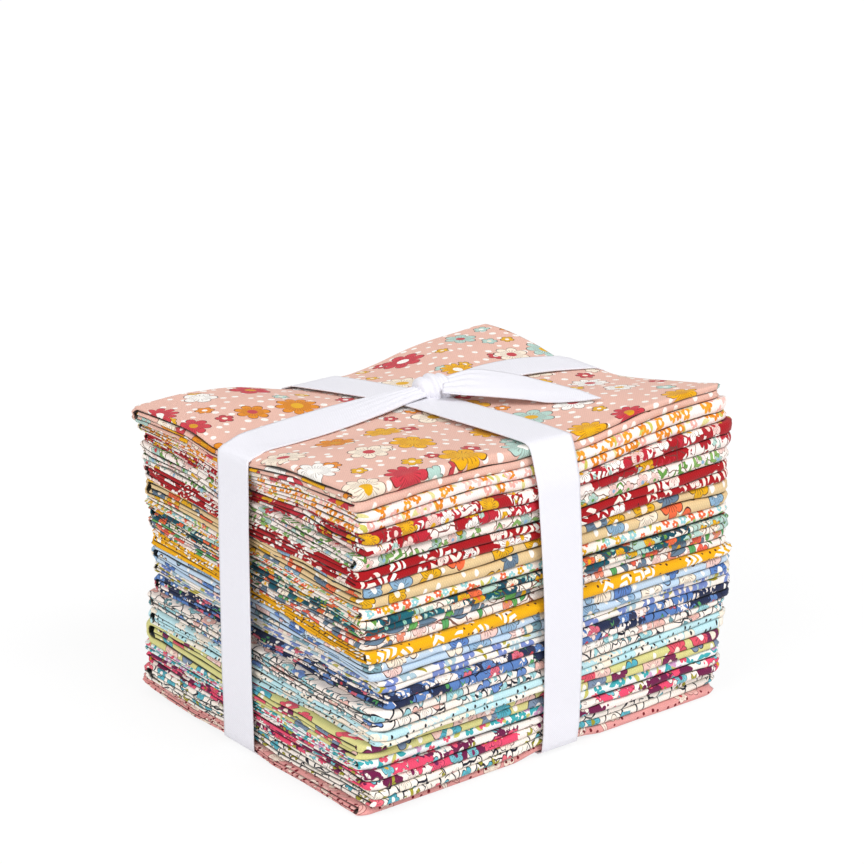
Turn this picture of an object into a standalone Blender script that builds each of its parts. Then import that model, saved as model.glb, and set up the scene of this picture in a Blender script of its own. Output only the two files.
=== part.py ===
"""Bundle of twenty folded fat quarters of quilting cotton, tied with one ribbon.

Units are metres and +Z is up. The origin is the middle of the stack's footprint,
on the surface that the bundle rests on. The front of the stack faces -Y.

Each fat quarter is a strip of four plies in a book fold. Its solid is one band
that runs back and forth through four layers, extruded along X. Every fat quarter
keeps to its own slab of the stack, and one settling rule bends all the slabs, so
the pieces follow each other and never meet.
"""
import math

import bmesh
import bpy
from mathutils import Vector

# Folded size of one fat quarter, seen from above
LENGTH = 0.140
DEPTH = 0.118
HALF_LENGTH = LENGTH / 2
HALF_DEPTH = DEPTH / 2

# A folded fat quarter has four layers, and each layer is a band
LAYERS = 4
BAND_HALF = 0.4
END_BAND_HALF = 0.22
END_ROUNDING = 0.0006
PIECE_GAP = 0.00035
FOLD_STEPS = 3
SPINE_STEPS = 4
RAW_END_INSET = 0.3

# The ribbon, and the two ways it runs around the stack
RIBBON_WIDTH = 0.016
RIBBON_THICK = 0.001
RIBBON_CLEARANCE = 0.00035
STRAP_X_CENTRE = 0.0025
STRAP_Y_CENTRE = 0.0050
STRAP_SHELF = 0.0095
TURN_STEP = math.radians(22.0)

# How the straps press the top of the stack down, from the edge named to the other
TOP_SETTLE_START = 0.0585
TOP_SETTLE_END = 0.0985
TOP_SETTLE_POWER = 1.5
STRAP_X_DIP_FRONT = 0.0015
STRAP_X_DIP_MIDDLE = 0.0030
STRAP_X_DIP_BACK = 0.0080
STRAP_X_DIP_REACH = 0.022
STRAP_Y_DIP_LEFT = 0.0038
STRAP_Y_DIP_MIDDLE = 0.0030
STRAP_Y_DIP_RIGHT = 0.0062
STRAP_Y_DIP_REACH_LEFT = 0.013
STRAP_Y_DIP_REACH_RIGHT = 0.028
BACK_CORNER_DROOP = 0.0038
PUFF = 0.0016

# How the straps dent the underside
BOTTOM_SETTLE_END = 0.013
DENT = RIBBON_THICK + RIBBON_CLEARANCE
DENT_SHOULDER = 0.0165

# How far from the straps' middles the layers have cross lines, on both sides of
# each strap: the pieces near the top, those in the middle, those at the bottom
TOP_LINES = (STRAP_SHELF, 0.036)
MIDDLE_LINES = (0.0,)
BOTTOM_LINES = (STRAP_SHELF, DENT_SHOULDER)
TOP_PIECES = 8
BOTTOM_PIECES = 3

# The knot and the free end, which lies over the front right quarter of the top
KNOT_CENTRE = (0.0065, 0.0050)
KNOT_RADII = (0.0115, 0.0075, 0.0042)
KNOT_TURN = math.radians(-24.0)
KNOT_SEGMENTS = 14
KNOT_RINGS = 8
TAIL_LIFT = 0.0013

BACK = "back"
FRONT = "front"

# One row for each fat quarter from the top down. The side is that of its spine.
# Thickness is given in millimetres at the front left, front right and back left
# corners, then its shift along X and Y in millimetres and its turn in degrees.
# The last column is the cloth's main colour.
FAT_QUARTERS = (
    # side, front left, front right, back left, shift x, shift y, turn, colour
    (BACK, 6.8, 4.7, 5.1, -2.0, 2.5, 0.0, (0.88, 0.55, 0.46)),
    (BACK, 6.2, 7.4, 3.6, -0.5, 1.0, -0.5, (0.93, 0.83, 0.66)),
    (BACK, 6.2, 7.4, 3.0, 0.0, -1.0, -0.5, (0.80, 0.36, 0.28)),
    (FRONT, 3.8, 4.1, 7.2, -1.0, -1.0, -1.5, (0.84, 0.80, 0.70)),
    (BACK, 5.8, 6.8, 5.5, -1.0, -0.5, -1.5, (0.52, 0.03, 0.04)),
    (BACK, 5.9, 7.1, 5.4, 0.0, -0.5, -1.0, (0.72, 0.52, 0.34)),
    (FRONT, 3.0, 3.5, 3.0, 0.0, -1.0, -1.0, (0.88, 0.80, 0.64)),
    (BACK, 5.0, 4.9, 5.0, 0.0, -1.5, -1.5, (0.08, 0.26, 0.28)),
    (BACK, 5.3, 5.1, 3.7, 1.0, 0.0, -1.0, (0.82, 0.80, 0.68)),
    (FRONT, 3.3, 3.0, 4.4, 1.0, -2.5, -1.0, (0.82, 0.50, 0.07)),
    (BACK, 5.3, 7.1, 5.7, 1.5, -1.0, -0.5, (0.46, 0.60, 0.74)),
    (BACK, 4.4, 4.2, 3.7, 2.5, -0.5, 1.0, (0.84, 0.83, 0.70)),
    (BACK, 4.7, 4.9, 4.7, 2.5, -1.5, 2.0, (0.22, 0.30, 0.50)),
    (BACK, 5.9, 5.4, 4.2, 0.5, -1.0, 1.5, (0.76, 0.78, 0.72)),
    (BACK, 4.7, 5.3, 6.0, 0.5, -1.5, 2.0, (0.56, 0.76, 0.78)),
    (BACK, 4.7, 5.3, 7.5, -0.5, -0.5, 0.0, (0.66, 0.67, 0.36)),
    (FRONT, 3.0, 3.4, 3.0, -0.5, -0.5, 0.0, (0.76, 0.80, 0.78)),
    (BACK, 6.2, 5.4, 4.0, -1.0, -1.0, 0.5, (0.45, 0.10, 0.24)),
    (BACK, 5.3, 4.9, 7.0, -1.5, 0.0, 2.0, (0.78, 0.74, 0.62)),
    (FRONT, 3.0, 3.2, 4.0, -2.5, 0.0, 0.0, (0.80, 0.42, 0.40)),
)
RIBBON_COLOUR = (0.86, 0.86, 0.89)

# The free end, one row for each cross line from the knot to its slanted cut, with
# the left and right edges in millimetres and the height over the cloth there
TAIL_ROWS = (
    # left x, left y, right x, right y, extra height
    (1.0, -0.5, 13.0, 10.5, 2.6),
    (6.0, -5.0, 19.5, 4.5, 2.0),
    (11.5, -10.5, 25.5, -2.5, 0.7),
    (16.0, -19.0, 29.5, -13.0, 0.2),
    (18.5, -30.0, 32.5, -24.0, 0.0),
    (28.0, -32.8, 36.5, -35.1, 0.0),
)


def clear_scene():
    """Remove whatever objects the file holds."""
    for thing in list(bpy.data.objects):
        bpy.data.objects.remove(thing, do_unlink=True)


def fabric(name, colour, roughness):
    """A plain cloth material with the piece's main colour."""
    material = bpy.data.materials.new(name)
    material.use_nodes = True
    shader = material.node_tree.nodes["Principled BSDF"]
    shader.inputs["Base Color"].default_value = (*colour, 1.0)
    shader.inputs["Roughness"].default_value = roughness
    shader.inputs["Metallic"].default_value = 0.0
    material.diffuse_color = (*colour, 1.0)
    return material


def make_object(name, mesh_builder, material):
    """Turn a finished bmesh into an object with its own material."""
    mesh = bpy.data.meshes.new(name)
    mesh_builder.to_mesh(mesh)
    mesh_builder.free()
    mesh.materials.append(material)
    mesh.shade_smooth()
    mesh.set_sharp_from_angle(angle=math.radians(35.0))
    piece = bpy.data.objects.new(name, mesh)
    bpy.context.collection.objects.link(piece)
    return piece


def thickness(row, x, y):
    """Thickness of a fat quarter at a point, from its three measured corners."""
    front_left, front_right, back_left = (value * 0.001 for value in row[1:4])
    along = (x + HALF_LENGTH) / LENGTH
    across = (y + HALF_DEPTH) / DEPTH
    return front_left + (front_right - front_left) * along + (back_left - front_left) * across


def slab_floor(index, x, y):
    """Height of the underside of a fat quarter's slab before settling."""
    return sum(thickness(row, x, y) for row in FAT_QUARTERS[index + 1:])


def three_point(position, half, first, middle, last):
    """A value that runs from first through middle to last over a side."""
    share = max(-1.0, min(1.0, position / half))
    if share < 0.0:
        return middle + (first - middle) * share * share
    return middle + (last - middle) * share * share


def press(distance, reach):
    """Share of a strap's dip at a distance from its middle, whole under the strap."""
    beyond = max(0.0, abs(distance) - STRAP_SHELF)
    return math.exp(-((beyond / reach) ** 2))


def top_change(x, y):
    """How far the top surface lies above the flat stack: puffs, dips and droop."""
    dip_x = three_point(
        y, HALF_DEPTH, STRAP_X_DIP_FRONT, STRAP_X_DIP_MIDDLE, STRAP_X_DIP_BACK
    ) * press(x - STRAP_X_CENTRE, STRAP_X_DIP_REACH)
    reach_share = (x + HALF_LENGTH) / LENGTH
    reach_y = STRAP_Y_DIP_REACH_LEFT
    reach_y += (STRAP_Y_DIP_REACH_RIGHT - STRAP_Y_DIP_REACH_LEFT) * max(0.0, reach_share)
    dip_y = three_point(
        x, HALF_LENGTH, STRAP_Y_DIP_LEFT, STRAP_Y_DIP_MIDDLE, STRAP_Y_DIP_RIGHT
    ) * press(y - STRAP_Y_CENTRE, reach_y)
    puff = PUFF * (1.0 - press(x - STRAP_X_CENTRE, STRAP_X_DIP_REACH))
    puff *= 1.0 - press(y - STRAP_Y_CENTRE, reach_y)
    along = max(0.0, x / HALF_LENGTH)
    across = max(0.0, y / HALF_DEPTH)
    droop = BACK_CORNER_DROOP * along * across
    return puff - max(dip_x, dip_y) - droop


def dent_share(x, y):
    """One over the ribbon on the underside, none past its shoulders."""
    nearest = min(abs(x - STRAP_X_CENTRE), abs(y - STRAP_Y_CENTRE))
    share = (DENT_SHOULDER - nearest) / (DENT_SHOULDER - STRAP_SHELF)
    return max(0.0, min(1.0, share))


def settle(x, y, z):
    """Height of a point of the flat stack once the straps have pressed it."""
    upper = max(0.0, (z - TOP_SETTLE_START) / (TOP_SETTLE_END - TOP_SETTLE_START))
    lower = max(0.0, 1.0 - z / BOTTOM_SETTLE_END)
    change = top_change(x, y) * upper ** TOP_SETTLE_POWER
    return z + change + DENT * dent_share(x, y) * lower


def layer_height(index, level, x, y):
    """Height of a level of a fat quarter: 0 is its underside and LAYERS its top."""
    low = slab_floor(index, x, y)
    if index < len(FAT_QUARTERS) - 1:
        low += PIECE_GAP / 2
    high = slab_floor(index, x, y) + thickness(FAT_QUARTERS[index], x, y) - PIECE_GAP / 2
    edge = 0.5 - BAND_HALF
    share = (level - edge) / (LAYERS - 2 * edge)
    return settle(x, y, low + (high - low) * share)


def band_outline(lines, front_edge, back_edge, front_pitch, back_pitch, half):
    """Outline of the folded band as pairs of y and level, spine at the back.

    The band starts at a raw end beside the spine, turns at the front, runs back
    under the stack of layers, turns up the spine, runs forward over the top,
    turns at the front again and ends beside the spine.
    """
    front = front_edge + (0.5 + BAND_HALF) * front_pitch
    back = back_edge - (1.5 + BAND_HALF) * back_pitch
    raw = back - RAW_END_INSET * back_pitch
    forward = lines[::-1]
    backward = lines

    def run(ys, level):
        return [(y, level) for y in ys]

    def front_turn(level, radius, steps):
        points = []
        for step in range(steps + 1):
            angle = math.pi * step / steps
            reach = radius * front_pitch * math.sin(angle)
            points.append((front - reach, level + radius * math.cos(angle)))
        return points

    def spine_turn(radius, steps):
        points = []
        for step in range(steps + 1):
            angle = math.pi * step / steps
            reach = radius * back_pitch * math.sin(angle)
            points.append((back + reach, 2.0 - radius * math.cos(angle)))
        return points

    outer = [(raw, 1.5 + half)] + run(forward, 1.5 + half)
    outer += front_turn(1.0, 0.5 + half, FOLD_STEPS)
    outer += run(backward, 0.5 - half)
    outer += spine_turn(1.5 + half, SPINE_STEPS)
    outer += run(forward, 3.5 + half)
    outer += front_turn(3.0, 0.5 + half, FOLD_STEPS)
    outer += run(backward, 2.5 - half) + [(raw, 2.5 - half)]

    inner = [(raw, 1.5 - half)] + run(forward, 1.5 - half)
    inner += front_turn(1.0, 0.5 - half, 1)
    inner += run(backward, 0.5 + half)
    inner += spine_turn(1.5 - half, 2)
    inner += run(forward, 3.5 - half)
    inner += front_turn(3.0, 0.5 - half, 1)
    inner += run(backward, 2.5 + half) + [(raw, 2.5 + half)]
    return outer + inner[::-1]


def cross_lines(index, centre):
    """Where a fat quarter's layers have their lines beside a strap's middle."""
    distances = MIDDLE_LINES
    if index < TOP_PIECES:
        distances = TOP_LINES
    elif index >= len(FAT_QUARTERS) - BOTTOM_PIECES:
        distances = BOTTOM_LINES
    return sorted({centre + side * distance for distance in distances for side in (-1, 1)})


def fat_quarter_rings(index):
    """The band's outline at each cross line along X, as lists of points."""
    row = FAT_QUARTERS[index]
    shift_x, shift_y = row[4] * 0.001, row[5] * 0.001
    turn = math.radians(row[6])
    mirrored = row[0] == FRONT
    sign = -1.0 if mirrored else 1.0
    lines = sorted(sign * y for y in cross_lines(index, STRAP_Y_CENTRE))

    stations = [(-HALF_LENGTH, True, END_BAND_HALF)]
    stations.append((-HALF_LENGTH + END_ROUNDING, True, BAND_HALF))
    stations += [(x, False, BAND_HALF) for x in cross_lines(index, STRAP_X_CENTRE)]
    stations.append((HALF_LENGTH - END_ROUNDING, True, BAND_HALF))
    stations.append((HALF_LENGTH, True, END_BAND_HALF))

    rings = []
    for x, at_end, half in stations:
        edge_shift = shift_y + math.tan(turn) * x
        front_edge = -HALF_DEPTH + sign * edge_shift
        back_edge = HALF_DEPTH + sign * edge_shift
        front_pitch = thickness(row, x, sign * front_edge) / LAYERS
        back_pitch = thickness(row, x, sign * back_edge) / LAYERS
        outline = band_outline(lines, front_edge, back_edge, front_pitch, back_pitch, half)
        ring = []
        for y, level in outline:
            real_y = sign * y
            real_x = x + (shift_x - math.tan(turn) * real_y if at_end else 0.0)
            ring.append((real_x, real_y, layer_height(index, level, real_x, real_y)))
        rings.append(ring)
    return rings, mirrored


def loft(rings, flipped):
    """Skin rings of equal length, split each face the same way, and cap the ends."""
    builder = bmesh.new()
    grid = [[builder.verts.new(point) for point in ring] for ring in rings]
    count = len(rings[0])
    for near, far in zip(grid, grid[1:]):
        for first in range(count):
            second = (first + 1) % count
            if near[first].co.y < near[second].co.y:
                builder.faces.new((near[first], far[first], far[second]))
                builder.faces.new((near[first], far[second], near[second]))
            else:
                builder.faces.new((near[first], far[first], near[second]))
                builder.faces.new((near[second], far[first], far[second]))
    builder.faces.new(grid[0])
    builder.faces.new(list(reversed(grid[-1])))
    if flipped:
        bmesh.ops.reverse_faces(builder, faces=builder.faces[:])
    return builder


def build_fat_quarter(index):
    """One folded fat quarter, as one solid."""
    rings, mirrored = fat_quarter_rings(index)
    name = "fat_quarter_%02d" % (index + 1)
    material = fabric(name + "_cotton", FAT_QUARTERS[index][7], 0.9)
    return make_object(name, loft(rings, not mirrored), material)


def convex_hull(points):
    """Counter-clockwise hull of points in a plane."""
    ordered = sorted(set(points))

    def half_hull(sequence):
        chain = []
        for point in sequence:
            while len(chain) > 1:
                ax, ay = chain[-1][0] - chain[-2][0], chain[-1][1] - chain[-2][1]
                bx, by = point[0] - chain[-2][0], point[1] - chain[-2][1]
                if ax * by - ay * bx > 1e-12:
                    break
                chain.pop()
            chain.append(point)
        return chain[:-1]

    return half_hull(ordered) + half_hull(reversed(ordered))


def strap_section(along_x):
    """Points of the stack's section under a strap, as pairs of run and height."""
    points = []
    half = RIBBON_WIDTH / 2
    centre = STRAP_Y_CENTRE if along_x else STRAP_X_CENTRE
    side = HALF_LENGTH if along_x else HALF_DEPTH
    for index, row in enumerate(FAT_QUARTERS):
        turn = math.tan(math.radians(row[6]))
        shift = (row[4] if along_x else row[5]) * 0.001
        for offset in (-half, half):
            across = centre + offset
            swing = -turn * across if along_x else turn * across
            for end in (-side, side):
                run = end + shift + swing
                x, y = (run, across) if along_x else (across, run)
                points.append((run, layer_height(index, 0.0, x, y)))
                points.append((run, layer_height(index, LAYERS, x, y)))
    steps = 16
    for step in range(1, steps):
        run = -side + 2 * side * step / steps
        for offset in (-half, 0.0, half):
            across = centre + offset
            x, y = (run, across) if along_x else (across, run)
            points.append((run, layer_height(0, LAYERS, x, y)))
    last = len(FAT_QUARTERS) - 1
    lowest = layer_height(last, 0.5 - BAND_HALF, STRAP_X_CENTRE, STRAP_Y_CENTRE)
    return [(run, max(z, lowest)) for run, z in points]


def rounded_loop(hull, radius):
    """The hull grown by a radius, with round corners."""
    loop = []
    count = len(hull)
    for index, corner in enumerate(hull):
        before = hull[index - 1]
        after = hull[(index + 1) % count]
        start = math.atan2(corner[1] - before[1], corner[0] - before[0]) - math.pi / 2
        end = math.atan2(after[1] - corner[1], after[0] - corner[0]) - math.pi / 2
        turn = (end - start) % (2 * math.pi)
        steps = max(1, round(turn / TURN_STEP))
        for step in range(steps + 1):
            angle = start + turn * step / steps
            loop.append((corner[0] + radius * math.cos(angle), corner[1] + radius * math.sin(angle)))
    return loop


def build_strap(along_x):
    """One closed strap around the stack, taut over what stands out most."""
    hull = convex_hull(strap_section(along_x))
    inner = rounded_loop(hull, RIBBON_CLEARANCE)
    outer = rounded_loop(hull, RIBBON_CLEARANCE + RIBBON_THICK)
    centre = STRAP_Y_CENTRE if along_x else STRAP_X_CENTRE
    edges = (centre - RIBBON_WIDTH / 2, centre + RIBBON_WIDTH / 2)
    builder = bmesh.new()

    def place(run, across, z):
        return (run, across, z) if along_x else (across, run, z)

    rings = []
    for (inner_run, inner_z), (outer_run, outer_z) in zip(inner, outer):
        corners = [
            place(inner_run, edges[0], inner_z),
            place(inner_run, edges[1], inner_z),
            place(outer_run, edges[1], outer_z),
            place(outer_run, edges[0], outer_z),
        ]
        rings.append([builder.verts.new(corner) for corner in corners])
    for near, far in zip(rings, rings[1:] + rings[:1]):
        for first in range(4):
            second = (first + 1) % 4
            builder.faces.new((near[first], near[second], far[second], far[first]))
    bmesh.ops.recalc_face_normals(builder, faces=builder.faces[:])
    return builder


def build_knot():
    """The knot's lump, drawn out along the strap that is gathered into it."""
    builder = bmesh.new()
    bmesh.ops.create_uvsphere(
        builder, u_segments=KNOT_SEGMENTS, v_segments=KNOT_RINGS, radius=1.0
    )
    base = layer_height(0, LAYERS, *KNOT_CENTRE) + RIBBON_CLEARANCE + RIBBON_THICK / 2
    for vert in builder.verts:
        long_way, short_way, up = vert.co
        pinch = 1.0 - 0.22 * math.cos(2.0 * math.pi * long_way)
        flat = Vector((long_way * KNOT_RADII[0], short_way * KNOT_RADII[1] * pinch))
        turned_x = flat.x * math.cos(KNOT_TURN) - flat.y * math.sin(KNOT_TURN)
        turned_y = flat.x * math.sin(KNOT_TURN) + flat.y * math.cos(KNOT_TURN)
        vert.co = (
            KNOT_CENTRE[0] + turned_x,
            KNOT_CENTRE[1] + turned_y,
            base + KNOT_RADII[2] * (0.75 + up),
        )
    return builder


def build_tail():
    """The free end: a thin strip that comes out of the knot to its slanted cut."""
    rings = []
    for left_x, left_y, right_x, right_y, extra in TAIL_ROWS:
        ring = []
        for x, y in ((left_x, left_y), (right_x, right_y)):
            ring.append((x * 0.001, y * 0.001))
        heights = [
            layer_height(0, LAYERS, x, y) + TAIL_LIFT + extra * 0.001 for x, y in ring
        ]
        (ax, ay), (bx, by) = ring
        rings.append([
            (ax, ay, heights[0]),
            (bx, by, heights[1]),
            (bx, by, heights[1] + RIBBON_THICK),
            (ax, ay, heights[0] + RIBBON_THICK),
        ])
    builder = loft(rings, False)
    bmesh.ops.recalc_face_normals(builder, faces=builder.faces[:])
    return builder


def build_ribbon():
    """The ribbon: both straps, the knot and the free end joined into one solid."""
    white = fabric("ribbon_cotton", RIBBON_COLOUR, 0.7)
    ribbon = make_object("ribbon", build_strap(True), white)
    additions = (
        ("ribbon_other_strap", build_strap(False)),
        ("ribbon_knot", build_knot()),
        ("ribbon_free_end", build_tail()),
    )
    for name, builder in additions:
        guide = make_object(name, builder, white)
        guide.hide_render = True
        guide.display_type = "WIRE"
        union = ribbon.modifiers.new("add_" + name, "BOOLEAN")
        union.operation = "UNION"
        union.solver = "EXACT"
        union.object = guide
    return ribbon


def build():
    """Model the whole bundle."""
    clear_scene()
    for index in range(len(FAT_QUARTERS)):
        build_fat_quarter(index)
    build_ribbon()


build()
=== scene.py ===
"""Looks of the tied bundle of folded fat quarters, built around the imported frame.

Each fat quarter is one sheet of cloth, 457 by 559 mm, folded into four plies and
then into four layers. Its print is drawn by nodes on a UV map in metres of flat
cloth. The ribbon is one thin strip with its knot and its free end.
"""
import math

import bpy
import numpy as np
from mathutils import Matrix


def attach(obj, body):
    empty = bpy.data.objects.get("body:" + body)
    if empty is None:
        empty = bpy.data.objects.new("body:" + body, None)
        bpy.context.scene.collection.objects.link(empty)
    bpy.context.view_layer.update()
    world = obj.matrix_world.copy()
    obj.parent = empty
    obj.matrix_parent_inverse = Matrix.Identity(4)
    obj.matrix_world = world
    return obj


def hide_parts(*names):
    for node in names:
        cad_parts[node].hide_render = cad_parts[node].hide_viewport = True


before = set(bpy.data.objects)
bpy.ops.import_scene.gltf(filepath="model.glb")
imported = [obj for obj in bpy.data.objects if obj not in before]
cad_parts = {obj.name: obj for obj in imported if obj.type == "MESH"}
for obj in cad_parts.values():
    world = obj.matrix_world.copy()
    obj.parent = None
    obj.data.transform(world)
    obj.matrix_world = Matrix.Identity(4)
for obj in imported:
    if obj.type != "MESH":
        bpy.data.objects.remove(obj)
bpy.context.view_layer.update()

MM = 0.001

# The folded stack, as in the frame
LENGTH = 0.140
DEPTH = 0.118
HALF_LENGTH = LENGTH / 2
HALF_DEPTH = DEPTH / 2
LAYERS = 4

# Where the two straps lie, how wide they press and how far the top dips under them
STRAP_X_CENTRE = 0.0025
STRAP_Y_CENTRE = 0.0050
STRAP_SHELF = 0.0095
STRAP_X_DIPS = (0.0008, 0.0030, 0.0080)
STRAP_X_DIP_REACH = 0.022
STRAP_Y_DIPS = (0.0010, 0.0030, 0.0062)
STRAP_Y_DIP_REACHES = (0.013, 0.028)
# Where the ribbon along Y bends over the edges, at the front and back, off its centre
STRAP_X_DRIFTS = (-0.0035, -0.0060)

# The heights over which the settling of the top grows, its droop and its puffs
TOP_SETTLE_START = 0.0585
TOP_SETTLE_END = 0.0985
TOP_SETTLE_POWER = 1.5
BACK_CORNER_DROOP = 0.0038
PUFF = 0.0016
PUFF_FADE = 1.3

# The straps' dent in the underside, and how far its back left corner curls up
BOTTOM_SETTLE_END = 0.013
DENT = 0.00135
DENT_SHOULDER = 0.0165
BOTTOM_CURL = 0.0028
BOTTOM_CURL_POWER = 1.5

# How far the top sags by its back and right edges and how far it rises along its far
# right edge, with where these start or end
LEFT_HOLLOW = 0.0013
LEFT_HOLLOW_END = 0.75
RIGHT_HOLLOW = 0.0024
FAR_HOLLOW = 0.0017
FAR_EDGE_RISE = 0.0009
FAR_RISE_START = 0.018
FAR_RISE_RUN = 0.014
# This brings the peak of s * s * (1 - s) to 1
CUBIC_PEAK = 6.75

# How far each strap presses the top edges that it bends over, and how wide
EDGE_PRESS = 0.0009
EDGE_PRESS_RUN = 0.0055
EDGE_PRESS_MOST = 1.3
EDGE_PRESS_REACH = 0.0075

# How the plies lie inside a layer, in shares of the layer's pitch
PLY_REACH = 0.445
EDGE_LIP = 0.43
RAW_EDGE_INSET = 0.6
# The gap between two fat quarters, the reach of a strip's end folds, and how far its
# inner folds stand back, in metres
PIECE_GAP = 0.00012
WRAP_REACH = 0.0009
INNER_INSET = 0.0006

# Even steps along the plies, with more on the outer ply and most on the top piece
PLAIN_ROWS = 9
TOP_ROWS = 46
INNER_COLUMNS = 24
OUTER_COLUMNS = 50
TOP_COLUMNS = 84

# Unevenness of folds, ends and slabs
FOLD_WANDER = 0.00040
SHARE_WANDER = 0.24
PLY_WANDER = 0.17
END_WANDER = 0.00070
END_WANDER_REACH = 0.008
BULGES = (0.85, 1.25)
SLAB_WAVE = 0.00050
SLAB_WAVE_PITCH = 0.016
SLAB_PHASE_SWING = 4.0
TOP_RELIEF = 0.00018
# Height of one level in the ripples, in metres
LEVEL_STEP_GUESS = 0.009

# Powers of the folds' outlines: a lower one makes a blunter fold
FOLD_FLATNESS = 0.75
FRONT_FLATNESS = 0.85

# How far the corners draw back, and how far ends and sides go past the plain stack
CORNER_ROUNDING = 0.0008
CORNER_REACH = 0.0030
END_FULLNESS = 0.0010
RIGHT_FULLNESS = 0.0012
FRONT_FULLNESS = 0.0008
# Fat quarters that reach further at one end: middle one, spread and reach
LEFT_BELLY = (14.8, 2.5, 0.0022)
RIGHT_BELLY = (2.7, 1.9, 0.0036)

# Painted shade in the crevices between plies, darkening the cloth's colour: where it
# starts and is whole in a turn, and its powers
SPINE_SHADE_START = 0.83
FRONT_SHADE_START = 0.77
TURN_SHADE_WHOLE = 0.97
TURN_SHADE_POWER = 1.7
WRAP_SHADE_START = 0.67
WRAP_SHADE_RUN = 0.27
WRAP_SHADE_POWER = 1.25
# Unevenness of the painted shade: mean, swing and least
CREVICE_MEAN = 0.96
CREVICE_WANDER = 0.45
CREVICE_LEAST = 0.35
# Offsets and reaches up to this share belong to the inner plies
INNER_PLY = 0.34
# How far from the raw end the painted shade starts, and the run over which it is let in
OPEN_END = 0.0004
OPEN_END_RUN = 0.0015
# Where a fat quarter stands out under the one above, and from which level up, so that
# its painted shade is taken away there
COVER_INSET = 0.0002
COVER_MARGIN = 0.0003
COVER_RUN = 0.0010
COVER_LEVEL = 3.3
COVER_LEVEL_RUN = 0.3

BACK, FRONT = "back", "front"

# One row for each fat quarter from the top down: the side of its spine, its
# thickness in millimetres at the front left, front right and back left corners,
# and its shift along X and Y in millimetres and its turn in degrees
FAT_QUARTERS = (
    (BACK, 6.8, 4.7, 5.1, -2.0, 2.5, 0.0),
    (BACK, 6.2, 7.4, 3.6, -0.5, 1.0, -0.5),
    (BACK, 6.2, 7.4, 3.0, 0.0, -1.0, -0.5),
    (FRONT, 3.8, 4.1, 7.2, -1.0, -1.0, -1.5),
    (BACK, 5.8, 6.8, 5.5, -1.0, -0.5, -1.5),
    (BACK, 5.9, 7.1, 5.4, 0.0, -0.5, -1.0),
    (FRONT, 3.0, 3.5, 3.0, 0.0, -1.0, -1.0),
    (BACK, 5.0, 4.9, 5.0, 0.0, -1.5, -1.5),
    (BACK, 5.3, 5.1, 3.7, 1.0, 0.0, -1.0),
    (FRONT, 3.3, 3.0, 4.4, 1.0, -2.5, -1.0),
    (BACK, 5.3, 7.1, 5.7, 1.5, -1.0, -0.5),
    (BACK, 4.4, 4.2, 3.7, 2.5, -0.5, 1.0),
    (BACK, 4.7, 4.9, 4.7, 2.5, -1.5, 2.0),
    (BACK, 5.9, 5.4, 4.2, 0.5, -1.0, 1.5),
    (BACK, 4.7, 5.3, 6.0, 0.5, -1.5, 2.0),
    (BACK, 4.7, 5.3, 7.5, -0.5, -0.5, 0.0),
    (FRONT, 3.0, 3.4, 3.0, -0.5, -0.5, 0.0),
    (BACK, 6.2, 5.4, 4.0, -1.0, -1.0, 0.5),
    (BACK, 5.3, 4.9, 7.0, -1.5, 0.0, 2.0),
    (FRONT, 3.0, 3.2, 4.0, -2.5, 0.0, 0.0),
)
COUNT = len(FAT_QUARTERS)


class Wander:
    """A smooth seeded ripple of one or two variables, about -1 to 1."""

    def __init__(self, seed, longest, shortest, terms=6):
        random = np.random.RandomState(seed)
        lengths = np.geomspace(longest, shortest, terms)
        headings = random.uniform(0.0, 2.0 * math.pi, terms)
        self.along = 2.0 * math.pi * np.cos(headings) / lengths
        self.across = 2.0 * math.pi * np.sin(headings) / lengths
        self.straight = 2.0 * math.pi / lengths
        self.phases = random.uniform(0.0, 2.0 * math.pi, terms)
        sizes = (lengths / longest) ** 0.6
        self.sizes = sizes / sizes.sum() * 1.6

    def line(self, a):
        """The ripple along one variable."""
        waves = np.sin(np.multiply.outer(a, self.straight) + self.phases)
        return waves @ self.sizes

    def plane(self, a, b):
        """The ripple over two variables."""
        waves = np.multiply.outer(a, self.along) + np.multiply.outer(b, self.across)
        return np.sin(waves + self.phases) @ self.sizes


SLAB_PHASE = Wander(71, 0.16, 0.05, 4)
SLAB_LEVEL = Wander(72, 0.20, 0.03, 5)


def thickness(index, x, y):
    """Thickness of a fat quarter at a point, from its three measured corners."""
    front_left, front_right, back_left = (v * MM for v in FAT_QUARTERS[index][1:4])
    along = (x + HALF_LENGTH) / LENGTH
    across = (y + HALF_DEPTH) / DEPTH
    return front_left + (front_right - front_left) * along + (back_left - front_left) * across


def end_reaches(index):
    """How far a fat quarter's two ends reach past the plain stack."""
    reaches = []
    for fullness, belly in ((END_FULLNESS, LEFT_BELLY), (RIGHT_FULLNESS, RIGHT_BELLY)):
        middle, spread, reach = belly
        reaches.append(fullness + reach * math.exp(-(((index - middle) / spread) ** 2)))
    return reaches


def slab_floor(index, x, y):
    """Height of the underside of a fat quarter's slab before settling."""
    return sum((thickness(i, x, y) for i in range(index + 1, COUNT)), 0.0 * x)


def three_point(position, half, values):
    """A value that runs through three over a side, from edge to edge."""
    share = np.clip(position / half, -1.0, 1.0)
    side = np.where(share < 0.0, values[0], values[2])
    return values[1] + (side - values[1]) * share * share


def press(distance, reach):
    """Share of a strap's dip at a distance from its middle, whole under the strap."""
    beyond = np.maximum(0.0, np.abs(distance) - STRAP_SHELF)
    return np.exp(-((beyond / reach) ** 2))


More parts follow.
